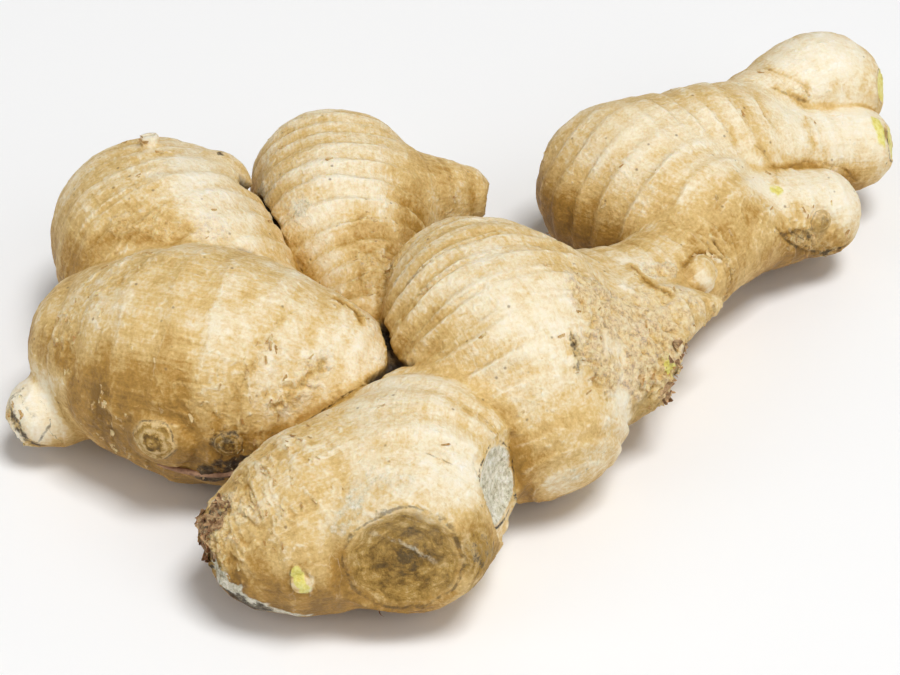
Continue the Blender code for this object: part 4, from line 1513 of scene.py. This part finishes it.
@dataclass(frozen=True)
class Flecked:
    """A thin dried remnant of the plant, light with darker flecks a few millimetres across."""

    name: str
    light: str
    dark: str
    roughness: float
    fleck_width: float
    places: tuple[float, float]  # where on the noise the two colours are full
    relief: float
    ior: float = 1.45
    see_through: float = 0.0  # how much light passes into it
    depth: float = 0.5

    def material(self) -> bpy.types.Material:
        """Builds the material."""
        material = bpy.data.materials.new(self.name)
        material.use_nodes = True
        tree = material.node_tree
        shader = tree.nodes["Principled BSDF"]
        place = add_node(tree, "ShaderNodeTexCoord", out="Object")
        values = {"Vector": place, "Scale": per_width(self.fleck_width), "Detail": 4.0, "Roughness": 0.7}
        flecks = add_node(tree, NOISE, values)
        stops = tuple(zip(self.places, (self.dark, self.light)))
        tree.links.new(add_node(tree, RAMP, {"Fac": flecks}, stops=stops), shader.inputs["Base Color"])
        values = {"Height": flecks, "Distance": self.relief * MM}
        tree.links.new(add_node(tree, "ShaderNodeBump", values), shader.inputs["Normal"])
        shader.inputs["Roughness"].default_value = self.roughness
        shader.inputs["IOR"].default_value = self.ior
        if self.see_through:
            shader.inputs["Subsurface Weight"].default_value = self.see_through
            shader.inputs["Subsurface Scale"].default_value = self.depth * MM
        return material


@dataclass(frozen=True)
class DriedScaleLeaf(Flecked):
    """The remains of the thin scale leaves that once wrapped each ring, dried to paper.

    It gives the eye matt cream scraps with brown edges, a little of the light coming through.
    """

    name: str = "dried_scale_leaf"
    light: str = "#E6CF9E"
    dark: str = "#AD8446"
    roughness: float = 0.75
    fleck_width: float = 2.4
    places: tuple[float, float] = (0.4, 0.62)
    relief: float = 0.2
    see_through: float = 0.2


@dataclass(frozen=True)
class DriedRoot(Flecked):
    """A thin root that dried on the skin. It gives the eye a dull red-brown thread, darker in places."""

    name: str = "dried_root"
    light: str = "#C69C7B"
    dark: str = "#825A42"
    roughness: float = 0.7
    fleck_width: float = 3.0
    places: tuple[float, float] = (0.38, 0.6)
    relief: float = 0.15


@dataclass
class Scatter:
    """Small pieces strewn on the skin by Geometry Nodes, one closed shape repeated."""

    name: str
    where: str  # the attribute that says how thick they lie, 0 to 1
    density: float  # how many to a square metre where it is 1
    length: float
    shortest: float  # the least length, as a share of it
    seed: int
    lean: float  # how far they turn at random round the normal, in radians
    tilt: ClassVar[float] = 0.35  # how far they turn round the other two axes, as a share of that

    def _inputs(self) -> dict[str, tuple[str, float | int]]:
        """The tree's named inputs: their socket types and values, lengths in metres."""
        return {
            "Density": ("NodeSocketFloat", self.density),
            "Length": ("NodeSocketFloat", self.length * MM),
            "Shortest": ("NodeSocketFloat", self.shortest),
            "Lean": ("NodeSocketFloat", self.lean),
            "Seed": ("NodeSocketInt", self.seed),
        }

    def _shape(self, tree: Tree) -> Socket:
        """The shape that is repeated, 1 long, in the tree. Each kind gives its own."""
        raise NotImplementedError

    def _tree(self, material: bpy.types.Material) -> Tree:
        """Strews the shape on the skin, turned to the growth and leaning at random.

        Args:
            material: what the pieces are made of.

        Returns:
            The tree.
        """
        tree = bpy.data.node_groups.new(self.name, "GeometryNodeTree")
        tree.interface.new_socket("Geometry", in_out="OUTPUT", socket_type="NodeSocketGeometry")
        tree.interface.new_socket("Geometry", in_out="INPUT", socket_type="NodeSocketGeometry")
        for name, (kind, _) in self._inputs().items():
            tree.interface.new_socket(name, in_out="INPUT", socket_type=kind)
        given = tree.nodes.new("NodeGroupInput").outputs
        where = add_node(tree, NAMED, {"Name": self.where}, out="Attribute", data_type="FLOAT")
        density = add_node(tree, MATH, {0: where, 1: given["Density"]}, operation="MULTIPLY")
        values = {"Mesh": given["Geometry"], "Density": density, "Seed": given["Seed"]}
        points = add_node(tree, "GeometryNodeDistributePointsOnFaces", values, out="Points")
        growth = add_node(tree, NAMED, {"Name": "growth"}, out="Attribute", data_type="FLOAT_VECTOR")
        values = {"Rotation": points.node.outputs["Rotation"], "Vector": growth}
        turned = add_node(tree, "FunctionNodeAlignRotationToVector", values, axis="Y", pivot_axis="Z")
        down = add_node(tree, MATH, {0: given["Lean"], 1: -1.0}, operation="MULTIPLY")
        values = {0: self._each(tree, down), 1: self._each(tree, given["Lean"]), "Seed": given["Seed"]}
        spin = add_node(tree, "FunctionNodeRandomValue", values, data_type="FLOAT_VECTOR")
        values = {"Rotation": turned, "Rotate By": spin}
        turned = add_node(tree, "FunctionNodeRotateRotation", values, rotation_space="LOCAL")
        least = add_node(tree, MATH, {0: given["Length"], 1: given["Shortest"]}, operation="MULTIPLY")
        size = tree.nodes.new("FunctionNodeRandomValue")
        size.data_type = "FLOAT"
        tree.links.new(least, size.inputs[2])
        tree.links.new(given["Length"], size.inputs[3])
        tree.links.new(given["Seed"], size.inputs["Seed"])
        values = {"Points": points, "Instance": self._shape(tree), "Rotation": turned}
        copies = add_node(tree, "GeometryNodeInstanceOnPoints", {**values, "Scale": size.outputs[1]})
        real = add_node(tree, "GeometryNodeRealizeInstances", {"Geometry": copies})
        dressed = add_node(tree, "GeometryNodeSetMaterial", {"Geometry": real, "Material": material})
        tree.links.new(dressed, tree.nodes.new("NodeGroupOutput").inputs[0])
        return tree

    def _each(self, tree: Tree, spin: Socket) -> Socket:
        """A turn by that much round the normal and by a part of it round the other two axes."""
        less = add_node(tree, MATH, {0: spin, 1: self.tilt}, operation="MULTIPLY")
        return add_node(tree, "ShaderNodeCombineXYZ", {"X": less, "Y": less, "Z": spin})

    def build(self, skin: bpy.types.Object, material: bpy.types.Material) -> bpy.types.Object:
        """Strews the pieces.

        Args:
            skin: the finished skin with its attributes.
            material: what the pieces are made of.

        Returns:
            All the pieces as one plain mesh.
        """
        piece = new_object(self.name, skin.data.copy())
        strewn = piece.modifiers.new("strewn", "NODES")
        strewn.node_group = self._tree(material)
        sockets = {item.name: item.identifier for item in strewn.node_group.interface.items_tree}
        for name, (_, value) in self._inputs().items():
            strewn[sockets[name]] = value
        apply_modifiers(piece)
        points = read_points(piece.data)
        points[:, 2] = np.maximum(points[:, 2], 0.0)
        write_points(piece.data, points)
        return piece


@dataclass
class ScaleLeafScraps(Scatter):
    """Curled scraps of scale leaf, each a thin plate with both ends and one long edge lifted."""

    width: float = 0.42
    thickness: float = 0.05
    curl: float = 0.4
    lifted: float = 0.4

    def _shape(self, tree: Tree) -> Socket:
        """A plate, tapered to its ends, bent and tilted."""
        size = (1.0, self.width, self.thickness)
        values = {"Size": size, "Vertices X": 6, "Vertices Y": 3, "Vertices Z": 2}
        plate = add_node(tree, "GeometryNodeMeshCube", values)
        place = add_node(tree, "GeometryNodeInputPosition")
        x = add_node(tree, "ShaderNodeSeparateXYZ", {"Vector": place}, out="X")
        y, z = x.node.outputs["Y"], x.node.outputs["Z"]
        bow = add_node(tree, MATH, {0: x, 1: x}, operation="MULTIPLY")
        taper = add_node(tree, MATH, {0: bow, 1: -2.8, 2: 1.0}, operation="MULTIPLY_ADD")
        across = add_node(tree, MATH, {0: y, 1: taper}, operation="MULTIPLY")
        swept = add_node(tree, MATH, {0: bow, 1: 0.5, 2: across}, operation="MULTIPLY_ADD")
        edge = add_node(tree, MATH, {0: across, 1: self.lifted, 2: z}, operation="MULTIPLY_ADD")
        up = add_node(tree, MATH, {0: bow, 1: self.curl, 2: edge}, operation="MULTIPLY_ADD")
        bent = add_node(tree, "ShaderNodeCombineXYZ", {"X": x, "Y": swept, "Z": up})
        return add_node(tree, "GeometryNodeSetPosition", {"Geometry": plate, "Position": bent})


@dataclass
class RootStubs(Scatter):
    """Short bent ends of the fine roots, each a tapered tube that rises out of the skin."""

    thick: float = 0.09
    thin: float = 0.03
    bend: float = 0.8

    def _shape(self, tree: Tree) -> Socket:
        """A closed tapered tube, bent over towards the growth."""
        values = {"Radius Top": self.thin, "Radius Bottom": self.thick, "Depth": 1.0}
        values |= {"Vertices": 6, "Side Segments": 5}
        tube = add_node(tree, "GeometryNodeMeshCone", values)
        place = add_node(tree, "GeometryNodeInputPosition")
        x = add_node(tree, "ShaderNodeSeparateXYZ", {"Vector": place}, out="X")
        y, z = x.node.outputs["Y"], x.node.outputs["Z"]
        bow = add_node(tree, MATH, {0: z, 1: z}, operation="MULTIPLY")
        over = add_node(tree, MATH, {0: bow, 1: self.bend, 2: y}, operation="MULTIPLY_ADD")
        low = add_node(tree, MATH, {0: bow, 1: -0.5 * self.bend, 2: z}, operation="MULTIPLY_ADD")
        bent = add_node(tree, "ShaderNodeCombineXYZ", {"X": x, "Y": over, "Z": low})
        return add_node(tree, "GeometryNodeSetPosition", {"Geometry": tube, "Position": bent})


@dataclass
class RootThread:
    """The one long root that lies along the foot of the left knob."""

    stations: tuple[Station, ...] = (
        (-58, -44.6, 12.4, 0.2),
        (-54, -45.6, 11.6, 0.5),
        (-49.5, -46.4, 10.8, 0.6),
        (-45.5, -47.2, 10.6, 0.55),
        (-41.8, -49.5, 10.4, 0.3),
    )
    sides: int = 10
    proud: float = 0.25

    def build(self, skeleton: Skeleton, material: bpy.types.Material) -> bpy.types.Object:
        """Lays the root on the skin.

        Args:
            skeleton: the knobs that it lies on.
            material: what it is made of.

        Returns:
            A closed tube.
        """
        line = smooth_line(np.array(self.stations, float), 8)
        centres, out, _ = skeleton.settle(line[:, :3], 4)
        centres = centres + out * self.proud
        ways = unit(np.gradient(centres, axis=0))
        side = unit(np.cross(ways, out))
        turns = np.linspace(0, 2 * np.pi, self.sides, endpoint=False)
        shape = bmesh.new()
        rings = []
        for centre, radius, across, up in zip(centres, line[:, 3], side, out):
            corners = (centre + radius * (np.cos(t) * across + np.sin(t) * up) for t in turns)
            rings.append([shape.verts.new(Vector(corner * MM)) for corner in corners])
        for first, second in zip(rings, rings[1:]):
            for index in range(self.sides):
                after = (index + 1) % self.sides
                shape.faces.new((first[index], first[after], second[after], second[index]))
        shape.faces.new(rings[0][::-1])
        shape.faces.new(rings[-1])
        bmesh.ops.recalc_face_normals(shape, faces=shape.faces)
        mesh = bpy.data.meshes.new("root_thread")
        shape.to_mesh(mesh)
        shape.free()
        mesh.shade_smooth()
        mesh.materials.append(material)
        return new_object("root_thread", mesh)


@dataclass(frozen=True)
class StudioFloor:
    """Matt white studio card, which gives the eye an even pale ground and a soft bounce."""

    colour: str = "#F7F7F7"
    roughness: float = 0.7

    def material(self) -> bpy.types.Material:
        """Builds the floor's material."""
        material = bpy.data.materials.new("white_studio_card")
        material.use_nodes = True
        shader = material.node_tree.nodes["Principled BSDF"]
        shader.inputs["Base Color"].default_value = linear(self.colour)
        shader.inputs["Roughness"].default_value = self.roughness
        return material


@dataclass
class Studio:
    """The floor, the lights and the camera. Lengths are metres here."""

    floor_size: float = 6.0
    target: Point = (-0.005, -0.013, 0.018)
    distance: float = 0.47
    elevation: float = 38.0
    lens: float = 100.0
    nearest: float = 0.02
    sky: float = 0.23
    lights: tuple[tuple[str, Point, float, float], ...] = (  # name, place, side and watts of each
        ("key", (0.65, -0.6, 2.7), 0.95, 55.5),
        ("front_fill", (1.6, -1.9, 1.8), 2.2, 19.0),
        ("left_fill", (-1.9, -0.9, 1.1), 1.6, 10.0),
    )

    def build(self) -> None:
        """Makes the floor, the lights, the world and the camera."""
        bpy.ops.mesh.primitive_plane_add(size=self.floor_size)
        floor = bpy.context.object
        floor.name = "studio_floor"
        floor.data.materials.append(StudioFloor().material())
        for light in self.lights:
            self._light(*light)
        world = bpy.data.worlds.new("studio")
        world.use_nodes = True
        background = world.node_tree.nodes["Background"]
        background.inputs["Color"].default_value = (1.0, 1.0, 1.0, 1.0)
        background.inputs["Strength"].default_value = self.sky
        scene = bpy.context.scene
        scene.world = world
        scene.view_settings.view_transform = "Standard"
        self._camera()
        log.info("studio: floor, %d lights and camera", len(self.lights))

    def _light(self, name: str, place: Point, size: float, power: float) -> None:
        """Hangs a square soft box that faces the object.

        Args:
            name: its name.
            place: where it hangs.
            size: length of its side.
            power: watts.
        """
        lamp = bpy.data.lights.new(name, "AREA")
        lamp.size = size
        lamp.energy = power
        thing = bpy.data.objects.new(name, lamp)
        bpy.context.scene.collection.objects.link(thing)
        thing.location = place
        thing.rotation_euler = (Vector(self.target) - Vector(place)).to_track_quat("-Z", "Y").to_euler()

    def _camera(self) -> None:
        """Sets the camera at the photograph's viewing angle."""
        lens = bpy.data.cameras.new("camera")
        lens.lens = self.lens
        lens.clip_start = self.nearest
        camera = bpy.data.objects.new("camera", lens)
        bpy.context.scene.collection.objects.link(camera)
        angle = np.radians(self.elevation)
        back = Vector((0.0, -np.cos(angle), np.sin(angle)))
        camera.location = Vector(self.target) + back * self.distance
        camera.rotation_euler = (-back).to_track_quat("-Z", "Y").to_euler()
        bpy.context.scene.camera = camera


def new_object(name: str, mesh: bpy.types.Mesh) -> bpy.types.Object:
    """A new object of this mesh in the scene."""
    thing = bpy.data.objects.new(name, mesh)
    bpy.context.scene.collection.objects.link(thing)
    return thing


def apply_modifiers(thing: bpy.types.Object) -> None:
    """Turns the object's evaluated shape into its plain mesh, and removes its modifiers."""
    graph = bpy.context.evaluated_depsgraph_get()
    mesh = bpy.data.meshes.new_from_object(thing.evaluated_get(graph))
    mesh.name = thing.name
    thing.modifiers.clear()
    thing.data = mesh


def read_points(mesh: bpy.types.Mesh) -> Floats:
    """The mesh's vertices as an array."""
    points = np.empty(len(mesh.vertices) * 3)
    mesh.vertices.foreach_get("co", points)
    return points.reshape(-1, 3)


def write_points(mesh: bpy.types.Mesh, points: Floats) -> None:
    """Moves the mesh's vertices to the stated places."""
    mesh.vertices.foreach_set("co", points.ravel())
    mesh.update()


def write_floats(mesh: bpy.types.Mesh, name: str, values: Floats) -> None:
    """Keeps a number at each vertex, for the material."""
    mesh.attributes.new(name, "FLOAT", "POINT").data.foreach_set("value", values)


def write_vectors(mesh: bpy.types.Mesh, name: str, values: Floats) -> None:
    """Keeps a vector at each vertex, for the material."""
    mesh.attributes.new(name, "FLOAT_VECTOR", "POINT").data.foreach_set("vector", values.ravel())


def main() -> None:
    """Builds each part in order, attaches it to its body, and hides the imported part that the skin stands
    for.
    """
    Studio().build()
    skeleton = Skeleton()
    skin = Rhizome(skeleton).build()
    skin.data.materials.clear()
    skin.data.materials.append(DriedGingerSkin().material())
    leaf, root = DriedScaleLeaf().material(), DriedRoot().material()
    torn = DriedScaleLeaf("torn_dried_scale_leaf", "#D0AE80", "#6E4D2C").material()
    scraps = ScaleLeafScraps(
        "scale_leaf_scraps", "scraps", density=700_000, length=1.8, shortest=0.3, seed=7, lean=0.5
    )
    shreds = ScaleLeafScraps(
        "torn_shreds", Mark.SHREDS.value, density=700_000, length=3.4, shortest=0.3, seed=5, lean=1.3
    )
    stubs = RootStubs("root_stubs", "rooty", density=3_000, length=1.8, shortest=0.4, seed=11, lean=1.2)
    pieces = [
        skin,
        scraps.build(skin, leaf),
        shreds.build(skin, torn),
        stubs.build(skin, root),
        RootThread().build(skeleton, root),
    ]
    for piece in pieces:
        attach(piece, "root")
        log.info("%s: %d faces", piece.name, len(piece.data.polygons))
    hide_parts("rhizome")


if __name__ == "__main__":
    logging.basicConfig(level=logging.INFO, format="%(name)s: %(message)s")
    main()
